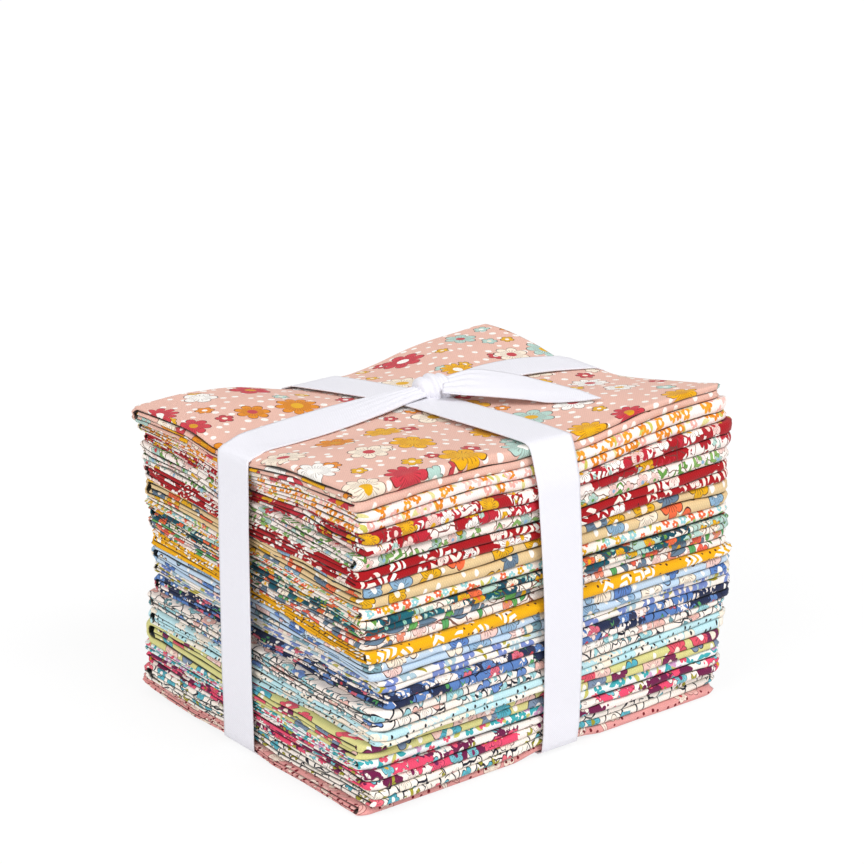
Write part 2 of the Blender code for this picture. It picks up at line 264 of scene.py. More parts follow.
def top_change(x, y):
    """How far the top surface lies above the flat stack: puffs, dips and droop."""
    near_x = press(x - STRAP_X_CENTRE, STRAP_X_DIP_REACH)
    reach_share = np.maximum(0.0, (x + HALF_LENGTH) / LENGTH)
    low_reach, high_reach = STRAP_Y_DIP_REACHES
    near_y = press(y - STRAP_Y_CENTRE, low_reach + (high_reach - low_reach) * reach_share)
    dip_x = three_point(y, HALF_DEPTH, STRAP_X_DIPS) * near_x
    dip_y = three_point(x, HALF_LENGTH, STRAP_Y_DIPS) * near_y
    back_share = np.clip(y / HALF_DEPTH, 0.0, 1.0)
    puff = PUFF * (1.0 - PUFF_FADE * back_share) * (1.0 - near_x) * (1.0 - near_y)
    along = np.maximum(0.0, x / HALF_LENGTH)
    across = np.maximum(0.0, y / HALF_DEPTH)
    hang = hollows(x, y, along, across)
    drift = np.interp(y, (-HALF_DEPTH, HALF_DEPTH), STRAP_X_DRIFTS)
    hang = hang + edge_press(x, HALF_LENGTH, y - STRAP_Y_CENTRE)
    hang = hang + edge_press(y, HALF_DEPTH, x - STRAP_X_CENTRE - drift)
    return puff - np.maximum(dip_x, dip_y) - BACK_CORNER_DROOP * along * across - hang


def hollows(x, y, along, across):
    """How far the top sags between its middle and its edges."""
    sag = np.minimum(1.0, np.maximum(0.0, -x / HALF_LENGTH) / LEFT_HOLLOW_END)
    hang = 4.0 * LEFT_HOLLOW * sag * (1.0 - sag) * across
    frontward = np.clip(-y / HALF_DEPTH, 0.0, 1.0)
    right = CUBIC_PEAK * frontward ** 2 * (1.0 - frontward) * along ** 2
    back = CUBIC_PEAK * np.minimum(along, 1.0) ** 2 * np.maximum(0.0, 1.0 - along) * across ** 2
    hang = hang + RIGHT_HOLLOW * right + FAR_HOLLOW * back
    far = np.clip((y - FAR_RISE_START) / FAR_RISE_RUN, 0.0, 1.0)
    return hang - FAR_EDGE_RISE * along ** 6 * far * far * (3.0 - 2.0 * far)


def edge_press(place, half, from_strap):
    """How far a strap presses the edges at -half and half, away from its middle."""
    near = np.clip(1.0 - (half - np.abs(place)) / EDGE_PRESS_RUN, 0.0, EDGE_PRESS_MOST) ** 2
    return EDGE_PRESS * near * press(from_strap, EDGE_PRESS_REACH)


def settle(x, y, z):
    """Height of a point of the flat stack once the straps have pressed it."""
    upper = np.maximum(0.0, (z - TOP_SETTLE_START) / (TOP_SETTLE_END - TOP_SETTLE_START))
    lower = np.maximum(0.0, 1.0 - z / BOTTOM_SETTLE_END)
    nearest = np.minimum(np.abs(x - STRAP_X_CENTRE), np.abs(y - STRAP_Y_CENTRE))
    dent = np.clip((DENT_SHOULDER - nearest) / (DENT_SHOULDER - STRAP_SHELF), 0.0, 1.0)
    share = np.clip(z / TOP_SETTLE_END, 0.0, 1.0)
    window = 4.0 * share * (1.0 - share)
    phase = 2.0 * math.pi * z / SLAB_WAVE_PITCH + SLAB_PHASE_SWING * SLAB_PHASE.plane(x, y)
    wave = SLAB_WAVE * np.sin(phase) * window
    leftward, backward = np.maximum(0.0, -x / HALF_LENGTH), np.maximum(0.0, y / HALF_DEPTH)
    low = DENT * dent + BOTTOM_CURL * leftward ** 2 * backward ** BOTTOM_CURL_POWER
    return z + top_change(x, y) * upper ** TOP_SETTLE_POWER + low * lower + wave


def layer_height(index, level, x, y):
    """Height of a level of a fat quarter: 0 is its underside and LAYERS its top."""
    floor = slab_floor(index, x, y)
    low = floor + (PIECE_GAP / 2 if index < COUNT - 1 else 0.0)
    high = floor + thickness(index, x, y) - PIECE_GAP / 2
    edge = 0.5 - PLY_REACH
    share = (level - edge) / (LAYERS - 2 * edge)
    return settle(x, y, low + (high - low) * share)


def spaced(count, ends):
    """Even shares from 0 to 1 and closer ones, in thousandths, near both ends."""
    inner = np.linspace(0.0, 1.0, count)
    head = np.array(ends) / 1000.0
    return np.unique(np.concatenate([head, 1.0 - head, inner]))


def fold_rows(dense):
    """The rows of the book fold: kind, level or centre, share or angle, side."""
    near_fold = (0, 8, 20, 45)
    plain = spaced(PLAIN_ROWS, near_fold)
    top = spaced(TOP_ROWS if dense else PLAIN_ROWS, near_fold)
    small_turn = np.linspace(0.0, 1.0, 9)[1:-1]
    large_turn = np.linspace(0.0, 1.0, 13)[1:-1]
    stretches = (
        ("raw_to_front", 1.5, plain, 1.0),
        ("front_turn", 1.0, small_turn, 0.5),
        ("front_to_back", 0.5, plain, -1.0),
        ("spine_turn", 2.0, large_turn, 1.5),
        ("back_to_front", 3.5, top, 1.0),
        ("front_turn", 3.0, small_turn, 0.5),
        ("front_to_raw", 2.5, plain, -1.0),
    )
    return [(kind, level, share, side) for kind, level, shares, side in stretches
            for share in shares]


def ply_columns(dense):
    """The columns of the strip fold: share along X, offset share, reach beyond, inset.

    The first and last column stand for the thickness of the two cut edges.
    """
    fine = spaced(TOP_COLUMNS if dense else OUTER_COLUMNS, (0, 3, 8, 18))
    plain = spaced(INNER_COLUMNS, (0, 8, 18))
    turn = np.linspace(0.0, math.pi, 9)[1:-1]
    columns = [(1.0, EDGE_LIP - 1.0, 0.0, 0.0)]
    columns += [(1.0 - s, -1.0, 0.0, 0.0) for s in plain]
    columns += [(0.0, -math.cos(a), -math.sin(a) ** FOLD_FLATNESS, 0.0) for a in turn]
    columns += [(s, 1.0, 0.0, 0.0) for s in fine]
    columns += [(1.0, (2.0 + math.cos(a)) / 3.0, math.sin(a) / 3.0, 0.5) for a in turn[::2]]
    columns += [(1.0 - s, 1.0 / 3.0, 0.0, 1.0) for s in plain]
    columns += [(0.0, math.cos(a) / 3.0, -math.sin(a) / 3.0, 1.0) for a in turn[::2]]
    columns += [(s, -1.0 / 3.0, 0.0, 1.0) for s in plain]
    columns += [(1.0, EDGE_LIP - 1.0 / 3.0, 0.0, 1.0)]
    return columns


def side_sign(index):
    """-1 for a fat quarter whose spine is at the front, 1 for the others."""
    return -1.0 if FAT_QUARTERS[index][0] == FRONT else 1.0


def wander_seed(index):
    """First of the seeds of one fat quarter's ripples."""
    return 100 + 10 * index


def column_places(index, columns):
    """Places of the columns along X, before ripples and rounded corners."""
    share, reach, inner = columns[:, 0], columns[:, 2], columns[:, 3]
    left_reach, right_reach = end_reaches(index)
    inset = WRAP_REACH + INNER_INSET * inner - left_reach
    right_inset = INNER_INSET * inner - right_reach
    straight = -HALF_LENGTH + inset + share * (LENGTH - inset - right_inset)
    return straight + reach * WRAP_REACH


def corner_pull(place, half):
    """How far the stack's corners draw back at a place between -half and half."""
    inward = np.minimum(place + half, half - place)
    return CORNER_ROUNDING * np.maximum(0.0, 1.0 - inward / CORNER_REACH) ** 2


def book_fold(index, rows, shift, local_x):
    """Places across the stack and levels of all points of one book fold."""
    sign, seed = side_sign(index), wander_seed(index)
    fold_lines = {1.0: Wander(seed, 0.12, 0.012), 3.0: Wander(seed + 1, 0.12, 0.012)}
    spine_line = Wander(seed + 2, 0.12, 0.015)
    bulges = np.random.RandomState(seed + 5).uniform(*BULGES, 3)
    rounding = corner_pull(local_x, HALF_LENGTH)
    front_pitch = thickness(index, local_x, -sign * HALF_DEPTH) / LAYERS
    back_pitch = thickness(index, local_x, sign * HALF_DEPTH) / LAYERS
    back_line = HALF_DEPTH - rounding - (1.5 + PLY_REACH) * back_pitch * bulges[2]
    back_line = back_line - 0.5 * FOLD_WANDER * (1.0 - spine_line.line(local_x))

    def front_line(centre):
        bulge = bulges[0] if centre < 2.0 else bulges[1]
        line = -HALF_DEPTH - FRONT_FULLNESS + rounding + (0.5 + PLY_REACH) * front_pitch * bulge
        return line + FOLD_WANDER * (1.0 + fold_lines[centre].line(local_x)), bulge

    lines = {centre: front_line(centre) for centre in fold_lines}
    raw_line = back_line - RAW_EDGE_INSET * back_pitch
    spans = {
        "raw_to_front": (raw_line, lines[1.0][0]),
        "front_to_back": (lines[1.0][0], back_line),
        "back_to_front": (back_line, lines[3.0][0]),
        "front_to_raw": (lines[3.0][0], raw_line),
    }
    all_y, all_level = [], []
    for kind, level, share, side_or_radius in rows:
        angle = math.pi * share
        if kind == "front_turn":
            line, bulge = lines[level]
            radius = side_or_radius + shift
            all_y.append(line - radius * front_pitch * bulge * math.sin(angle) ** FRONT_FLATNESS)
            all_level.append(level + radius * math.cos(angle))
        elif kind == "spine_turn":
            radius = side_or_radius + shift
            all_y.append(back_line + radius * back_pitch * bulges[2] * math.sin(angle))
            all_level.append(level - radius * math.cos(angle))
        else:
            start, end = spans[kind]
            all_y.append(start + (end - start) * share)
            all_level.append(level + side_or_radius * shift)
    return np.array(all_y), np.array(all_level)


def sheet_points(index):
    """Points, flat coordinates and shares of painted crevice shade of one folded fat quarter."""
    on_top = index == 0
    shift_x, shift_y, turn = FAT_QUARTERS[index][4:]
    sign, seed = side_sign(index), wander_seed(index)
    slope = math.tan(math.radians(turn))
    rows, columns = fold_rows(on_top), np.array(ply_columns(on_top))
    straight_x = column_places(index, columns)
    local_y, level = book_fold(index, rows, columns[:, 1] * PLY_REACH, straight_x)
    share_line = Wander(seed + 3, 0.15, 0.03, 4)
    end_line = Wander(seed + 4, 0.09, 0.012)
    ply_line = Wander(seed + 6, 0.040, 0.006, 6)

    pull = corner_pull(local_y, HALF_DEPTH)
    end_wave = END_WANDER * (1.0 + end_line.plane(local_y, level * 0.020))
    share_x = columns[:, 0]
    near_left = np.maximum(0.0, 1.0 - share_x * LENGTH / END_WANDER_REACH) ** 2
    near_right = np.maximum(0.0, 1.0 - (1.0 - share_x) * LENGTH / END_WANDER_REACH) ** 2
    local_x = straight_x + (pull + end_wave) * (near_left - near_right)

    real_y = sign * local_y
    x = local_x + shift_x * MM - slope * real_y
    y = real_y + shift_y * MM + slope * local_x
    z_guess = level * LEVEL_STEP_GUESS
    warp = SHARE_WANDER * share_line.plane(x, y) + PLY_WANDER * ply_line.plane(x + z_guess, y)
    level = level + warp * level * (LAYERS - level) / LAYERS
    z = layer_height(index, level, x, y)
    # Painted shade in the crevices between plies, kept off where the piece above stands back and
    # made uneven
    painted_shade = crevices(rows, columns, on_top)
    if on_top:
        z = z + TOP_RELIEF * SLAB_LEVEL.plane(x, y) * np.clip(level - 2.5, 0.0, 1.0)
    else:
        painted_shade = painted_shade * covered(index, x, y, level)
    uneven = CREVICE_MEAN + CREVICE_WANDER * ply_line.plane(y + 3.0 * z_guess, x - z_guess)
    painted_shade = painted_shade * np.clip(uneven, CREVICE_LEAST, 1.0)
    points = np.stack([x, y, z], axis=-1)
    return points, flat_coordinates(points, sign), painted_shade


def covered(index, x, y, level):
    """Share of the painted crevice shade that stays where the piece above may stand back."""
    shift_x, shift_y, turn = FAT_QUARTERS[index - 1][4:]
    slope = math.tan(math.radians(turn))
    along, across = x - shift_x * MM, y - shift_y * MM
    from_end = HALF_LENGTH - COVER_INSET - np.abs(along + slope * across)
    from_side = HALF_DEPTH - COVER_INSET - np.abs(across - slope * along)
    inside = np.minimum(from_end, from_side)
    share = np.clip((inside + COVER_MARGIN) / COVER_RUN, 0.0, 1.0)
    upper = np.clip((level - COVER_LEVEL) / COVER_LEVEL_RUN, 0.0, 1.0)
    return 1.0 - upper * (1.0 - share)


def crevices(rows, columns, on_top):
    """Share of painted shade at each point, standing in for a crevice's shade: 0 on the outer
    folds, 1 between plies.
    """
    kinds = np.array([row[0] for row in rows])
    turning = np.array(["turn" in kind for kind in kinds])[:, None]
    turn_share = np.array([row[2] for row in rows])
    start = np.where(kinds == "spine_turn", SPINE_SHADE_START, FRONT_SHADE_START)
    row_deep = (np.abs(turn_share - 0.5) * 2 - start) / (TURN_SHADE_WHOLE - start)
    row_deep = np.clip(row_deep, 0.0, 1.0)[:, None] ** TURN_SHADE_POWER
    share, offset, reach = columns[:, 0], columns[:, 1], columns[:, 2]
    wraps = reach < 0.0
    outer_ply = (np.abs(offset) > INNER_PLY) | (np.abs(reach) > INNER_PLY)
    tilt = np.clip(np.abs(offset) / np.where(outer_ply, 1.0, 1.0 / 3.0), 0.0, 1.0)
    wrap_deep = np.clip((tilt - WRAP_SHADE_START) / WRAP_SHADE_RUN, 0.0, 1.0)
    outer = (offset > 0.9) & ~wraps
    outside = wraps & (offset > 0.0) & (reach < -INNER_PLY)
    painted_shade = np.ones((len(rows), len(columns)))
    painted_shade = np.where(turning & outer, row_deep, painted_shade)
    painted_shade = np.where(wraps, wrap_deep ** WRAP_SHADE_POWER, painted_shade)
    painted_shade = np.where(turning & outside, row_deep, painted_shade)
    if on_top:
        top = kinds == "back_to_front"
        late = np.arange(len(rows)) > np.flatnonzero(top)[-1]
        rising = (kinds == "front_turn") & (turn_share < 0.5) & late
        bare = (top | rising)[:, None] & outer
        bare = bare | (top[:, None] & wraps & (offset > 0.0))
        painted_shade = np.where(bare, 0.0, painted_shade)
    from_right = (1.0 - share) * LENGTH
    return np.minimum(painted_shade, np.clip((from_right - OPEN_END) / OPEN_END_RUN, 0.0, 1.0))


def flat_coordinates(points, sign):
    """Even flat coordinates in metres, from the mean spacing of rows and columns."""
    steps_t = np.linalg.norm(np.diff(points, axis=0), axis=2).mean(axis=1)
    steps_s = np.linalg.norm(np.diff(points, axis=1), axis=2).mean(axis=0)
    t = np.concatenate([[0.0], np.cumsum(steps_t)])
    s = np.concatenate([[0.0], np.cumsum(steps_s)])
    grid_s, grid_t = np.meshgrid(s, t * sign)
    return np.stack([grid_s, grid_t], axis=-1)


def grid_faces(rows, columns, start=0):
    """Quads of a grid of points."""
    first = start + np.arange((rows - 1) * columns).reshape(rows - 1, columns)[:, :-1]
    first = first.ravel()
    return np.stack([first, first + 1, first + columns + 1, first + columns], axis=1)


def mesh_object(name, points, faces, coordinates, material, painted_shade=None):
    """A smooth mesh object with one UV map in metres and an attribute of painted crevice shade.
    """
    mesh = bpy.data.meshes.new(name)
    mesh.from_pydata(points.tolist(), [], faces.tolist())
    uv_map = mesh.uv_layers.new(name="cloth")
    loops = np.empty(len(mesh.loops), dtype=np.int32)
    mesh.loops.foreach_get("vertex_index", loops)
    uv_map.data.foreach_set("uv", coordinates[loops].ravel())
    if painted_shade is not None:
        # The share of painted crevice shade, by which the cloth's material darkens its colour
        crevice = mesh.attributes.new("crevice", "FLOAT", "POINT")
        crevice.data.foreach_set("value", painted_shade.ravel())
    mesh.materials.append(material)
    mesh.shade_smooth()
    piece = bpy.data.objects.new(name, mesh)
    bpy.context.collection.objects.link(piece)
    return piece


# Materials

def linear(colour):
    """A display colour of 0 to 255 as the linear values that shaders take."""
    values = []
    for channel in colour:
        c = channel / 255.0
        values.append(c / 12.92 if c <= 0.04045 else ((c + 0.055) / 1.055) ** 2.4)
    return (*values, 1.0)


class Graph:
    """Short calls that add nodes to a tree and link them."""

    def __init__(self, tree):
        self.tree = tree

    def add(self, kind, **settings):
        node = self.tree.nodes.new(kind)
        for name, value in settings.items():
            setattr(node, name, value)
        return node

    def feed(self, socket, value):
        if isinstance(value, bpy.types.NodeSocket):
            self.tree.links.new(value, socket)
        elif value is not None:
            socket.default_value = value

    def math(self, operation, a, b=None, c=None):
        node = self.add("ShaderNodeMath", operation=operation)
        for socket, value in zip(node.inputs, (a, b, c)):
            self.feed(socket, value)
        return node.outputs[0]

    def plus(self, a, b):
        return self.math("ADD", a, b)

    def minus(self, a, b):
        return self.math("SUBTRACT", a, b)

    def times(self, a, b):
        return self.math("MULTIPLY", a, b)

    def times_plus(self, a, b, c):
        return self.math("MULTIPLY_ADD", a, b, c)

    def less(self, a, b):
        return self.math("LESS_THAN", a, b)

    def vector(self, operation, a, b=None):
        node = self.add("ShaderNodeVectorMath", operation=operation)
        self.feed(node.inputs[0], a)
        self.feed(node.inputs[1], b)
        return node.outputs["Value" if operation == "LENGTH" else "Vector"]

    def scaled(self, a, factor):
        node = self.add("ShaderNodeVectorMath", operation="SCALE")
        self.feed(node.inputs[0], a)
        self.feed(node.inputs["Scale"], factor)
        return node.outputs["Vector"]

    def split(self, vector):
        node = self.add("ShaderNodeSeparateXYZ")
        self.feed(node.inputs[0], vector)
        return node.outputs

    def channels(self, colour):
        node = self.add("ShaderNodeSeparateColor")
        self.feed(node.inputs[0], colour)
        return node.outputs

    def mix(self, factor, a, b, **settings):
        node = self.add("ShaderNodeMix", data_type="RGBA", **settings)
        self.feed(node.inputs["Factor"], factor)
        self.feed(node.inputs[6], a)
        self.feed(node.inputs[7], b)
        return node.outputs[2]

    def noise(self, place, scale, detail):
        node = self.add("ShaderNodeTexNoise", noise_dimensions="2D")
        self.feed(node.inputs["Vector"], place)
        node.inputs["Scale"].default_value = scale
        node.inputs["Detail"].default_value = detail
        return node.outputs

    def cells(self, place, feature, jitter=None):
        node = self.add("ShaderNodeTexVoronoi", voronoi_dimensions="2D", feature=feature)
        self.feed(node.inputs["Vector"], place)
        node.inputs["Scale"].default_value = 1.0
        self.feed(node.inputs["Randomness"], jitter)
        return node.outputs

    def clamp(self, value):
        node = self.add("ShaderNodeClamp")
        self.feed(node.inputs[0], value)
        return node.outputs[0]

    def below(self, value, limit, soft=0.12):
        """One where value is under limit, with an edge soft in millimetres."""
        return self.clamp(self.times_plus(self.minus(limit, value), 1.0 / soft, 0.5))


FLOAT, VECTOR = "NodeSocketFloat", "NodeSocketVector"


def new_group(name, inputs, outputs):
    """An empty node group: its graph, what it is given and what it results in."""
    tree = bpy.data.node_groups.new(name, "ShaderNodeTree")
    for label in inputs:
        kind = VECTOR if label in ("Place", "Offset") else FLOAT
        tree.interface.new_socket(label, in_out="INPUT", socket_type=kind)
    for label in outputs:
        tree.interface.new_socket(label, in_out="OUTPUT", socket_type=FLOAT)
    graph = Graph(tree)
    source = graph.add("NodeGroupInput")
    target = graph.add("NodeGroupOutput")
    return graph, source.outputs, target.inputs


def close_group(graph, result, *values):
    """Feed a group's results in their order."""
    for socket, value in zip(result, values):
        graph.feed(socket, value)
    return graph.tree


def in_cells(graph, place, given):
    """A place in millimetres as a place in cells, moved by the scatter's offset."""
    scaled = graph.scaled(place, graph.math("DIVIDE", 1.0, given["Cell"]))
    return graph.vector("ADD", scaled, given["Offset"])


def cell_motif(graph, given):
    """The nearest motif's centre: offset in millimetres and three random numbers."""
    moved = in_cells(graph, given["Place"], given)
    cell = graph.cells(moved, "F1", given["Jitter"])
    away = graph.vector("SUBTRACT", moved, cell["Position"])
    return graph.scaled(away, given["Cell"]), graph.channels(cell["Color"])


def warped(graph, place, share, detail, reach):
    """A place in millimetres, pushed about by a smooth noise."""
    cloud = graph.noise(graph.scaled(place, share), 1.0, detail)
    return graph.vector("ADD", place, graph.scaled(cloud["Color"], reach))


# Flowers: fewest petals, how blunt they are, how their size varies, and their veins
PETALS = 5.0
PETAL_BLUNTNESS = 0.55
FLOWER_SIZES = (0.35, 0.75)
VEINS_PER_PETAL = 3.0
VEIN_LIMIT = 0.55
VEIN_REACH = 0.62


def flower_group():
    """Round flowers with petals, an outline and a centre, scattered over cells."""
    inputs = ("Place", "Cell", "Jitter", "Offset", "Radius", "Notch", "Fill", "Line",
              "Heart", "Spread")
    outputs = ("Shape", "Line", "Heart", "Pick", "Vein")
    graph, given, result = new_group("flower", inputs, outputs)
    away, chance = cell_motif(graph, given)
    parts = graph.split(away)
    distance = graph.vector("LENGTH", away)
    spin = graph.times(chance[0], 2.0 * math.pi)
    angle = graph.plus(graph.math("ARCTAN2", parts[1], parts[0]), spin)
    extra = graph.math("FLOOR", graph.times(chance[1], given["Spread"]))
    petals = graph.plus(PETALS, extra)
    wave = graph.math("COSINE", graph.times(angle, graph.times(petals, 0.5)))
    lobe = graph.math("POWER", graph.math("ABSOLUTE", wave), PETAL_BLUNTNESS)
    radius = graph.times(given["Radius"], graph.times_plus(chance[2], *FLOWER_SIZES))
    notch = graph.minus(1.0, given["Notch"])
    edge = graph.times(radius, graph.times_plus(lobe, given["Notch"], notch))
    there = graph.less(chance[1], given["Fill"])
    shape = graph.times(graph.below(distance, edge), there)
    inner = graph.below(distance, graph.minus(edge, given["Line"]))
    outline = graph.minus(shape, graph.times(inner, there))
    heart = graph.times(graph.below(distance, graph.times(radius, given["Heart"])), there)
    ribs = graph.math("SINE", graph.times(angle, graph.times(petals, VEINS_PER_PETAL)))
    inside = graph.less(distance, graph.times(radius, VEIN_REACH))
    vein = graph.times(graph.math("GREATER_THAN", ribs, VEIN_LIMIT), inside)
    pick = graph.math("FRACT", graph.times(chance[2], 7.31))
    return close_group(graph, result, shape, outline, heart, pick, vein)


# Leaves: slant and limit of their stripes, and their midrib's width, edge and share
STRIPE_SLANT = 0.8
STRIPE_LIMIT = -0.15
MIDRIB = (0.10, 0.1)
MIDRIB_SHARE = 0.7


def leaf_group():
    """Pointed leaves with a midrib, scattered over cells at any angle."""
    inputs = ("Place", "Cell", "Jitter", "Offset", "Length", "Width", "Fill", "Line",
              "Bend", "Ribs")
    graph, given, result = new_group("leaf", inputs, ("Shape", "Line", "Pick"))
    away, chance = cell_motif(graph, given)
    right, up = graph.split(away)[:2]
    turn = graph.times(chance[0], 2.0 * math.pi)
    cosine, sine = graph.math("COSINE", turn), graph.math("SINE", turn)
    along = graph.plus(graph.times(right, cosine), graph.times(up, sine))
    across = graph.minus(graph.times(up, cosine), graph.times(right, sine))
    share = graph.math("DIVIDE", along, given["Length"])
    square = graph.times(share, share)
    side = graph.math("ABSOLUTE", graph.minus(across, graph.times(square, given["Bend"])))
    half = graph.times(given["Width"], graph.minus(1.0, square))
    there = graph.less(chance[1], given["Fill"])
    run = graph.times_plus(side, STRIPE_SLANT, along)
    stripe = graph.math("SINE", graph.times(run, given["Ribs"]))
    stripe = graph.math("GREATER_THAN", stripe, STRIPE_LIMIT)
    plain = graph.less(given["Ribs"], 0.01)
    there = graph.times(there, graph.math("MAXIMUM", stripe, plain))
    shape = graph.times(graph.below(side, half), there)
    inner = graph.below(side, graph.minus(half, given["Line"]))
    outline = graph.minus(shape, graph.times(inner, there))
    rib = graph.times(graph.below(side, *MIDRIB), shape)
    line = graph.math("MAXIMUM", outline, graph.times(rib, MIDRIB_SHARE))
    return close_group(graph, result, shape, line, chance[2])


DOT_SIZES = (0.4, 0.8)


def dot_group():
    """Small round dots, one for each cell."""
    inputs = ("Place", "Cell", "Jitter", "Offset", "Radius", "Fill")
    graph, given, result = new_group("dots", inputs, ("Shape",))
    away, chance = cell_motif(graph, given)
    distance = graph.vector("LENGTH", away)
    there = graph.less(chance[1], given["Fill"])
    radius = graph.times(given["Radius"], graph.times_plus(chance[2], *DOT_SIZES))
    return close_group(graph, result, graph.times(graph.below(distance, radius), there))


# How stems and blots are warped: finer or coarser noise, its detail, and the stems' reach
STEM_WARP = (0.16, 1.0, 4.0)
PATCH_WARP = (0.45, 1.5)


def stem_group():
    """Wandering thin stems along the borders of large warped cells."""
    inputs = ("Place", "Cell", "Offset", "Width")
    graph, given, result = new_group("stems", inputs, ("Shape",))
    moved = in_cells(graph, warped(graph, given["Place"], *STEM_WARP), given)
    border = graph.cells(moved, "DISTANCE_TO_EDGE")["Distance"]
    shape = graph.below(graph.times(border, given["Cell"]), given["Width"])
    return close_group(graph, result, shape)


def patch_group():
    """Large blots with wavy borders, some cells filled and some left open."""
    inputs = ("Place", "Cell", "Offset", "Fill", "Wave")
    graph, given, result = new_group("patches", inputs, ("Shape", "Pick"))
    place = warped(graph, given["Place"], *PATCH_WARP, given["Wave"])
    cell = graph.cells(in_cells(graph, place, given), "F1")
    chance = graph.channels(cell["Color"])
    return close_group(graph, result, graph.less(chance[1], given["Fill"]), chance[2])


def weave_group():
    """Height of a plain weave, from -1 to 1, at a thread pitch in millimetres."""
    graph, given, result = new_group("plain_weave", ("Place", "Pitch"), ("Height",))
    scaled = graph.scaled(given["Place"], graph.math("DIVIDE", math.pi, given["Pitch"]))
    parts = graph.split(scaled)
    height = graph.times(graph.math("SINE", parts[0]), graph.math("SINE", parts[1]))
    ridge = graph.math("ABSOLUTE", graph.math("SINE", parts[1]))
    return close_group(graph, result, graph.times_plus(ridge, 0.5, height))


GROUPS = {
    "flower": flower_group(),
    "leaf": leaf_group(),
    "dots": dot_group(),
    "stems": stem_group(),
    "patches": patch_group(),
    "weave": weave_group(),
}


def use_group(graph, name, **values):
    """Add a group node and set or link its inputs."""
    node = graph.add("ShaderNodeGroup")
    node.node_tree = GROUPS[name]
    for label, value in values.items():
        graph.feed(node.inputs[label], value)
    return node.outputs


def palette(graph, factor, colours):
    """Pick one of several colours by a factor from 0 to 1."""
    ramp = graph.add("ShaderNodeValToRGB")
    graph.feed(ramp.inputs[0], factor)
    band = ramp.color_ramp
    band.interpolation = "CONSTANT"
    while len(band.elements) > 1:
        band.elements.remove(band.elements[-1])
    band.elements[0].position = 0.0
    band.elements[0].color = linear(colours[0])
    for step, colour in enumerate(colours[1:], start=1):
        element = band.elements.new(step / len(colours))
        element.color = linear(colour)
    return ramp.outputs[0]


INK = (56, 34, 36)
DARK = (28, 30, 44)
WHITE = (250, 246, 240)
CREAM = (247, 232, 212)
MUSTARD = (228, 172, 14)
ORANGE = (230, 138, 30)
TANGERINE = (238, 106, 62)
CRIMSON = (196, 62, 70)
RED = (178, 22, 38)
MINT = (180, 210, 200)
AQUA = (160, 214, 218)
LEAF = (104, 158, 70)
LIME = (206, 200, 96)
OLIVE = (160, 156, 46)
SKY = (140, 176, 208)
SLATE = (104, 128, 150)
BLUSH = (246, 208, 200)
PLUM = (124, 34, 84)


def flowers(cell, radius, colours, hearts, **other):
    """One scatter of flowers in a print."""
    return dict(kind="flower", cell=cell, radius=radius, colours=colours, hearts=hearts, **other)


def leaves(cell, length, width, colours, **other):
    """One scatter of leaves in a print."""
    return dict(kind="leaf", cell=cell, length=length, width=width, colours=colours, **other)


def dots(cell, radius, colour, **other):
    """One scatter of dots in a print."""
    return dict(kind="dots", cell=cell, radius=radius, colour=colour, **other)


def patches(cell, fill, colours, **other):
    """One layer of blots in a print."""
    return dict(kind="patches", cell=cell, fill=fill, colours=colours, **other)


def stems(cell, width, colour):
    """One net of stems in a print."""
    return dict(kind="stems", cell=cell, width=width, colour=colour)


# How much finer each print is drawn than its table says, from the top down
FINER = (
    1.00, 1.50, 1.35, 1.45, 1.30, 1.15, 1.50, 1.45, 1.40, 1.30,
    1.15, 1.40, 1.40, 1.30, 1.20, 1.15, 1.50, 1.45, 1.35, 1.20,
)

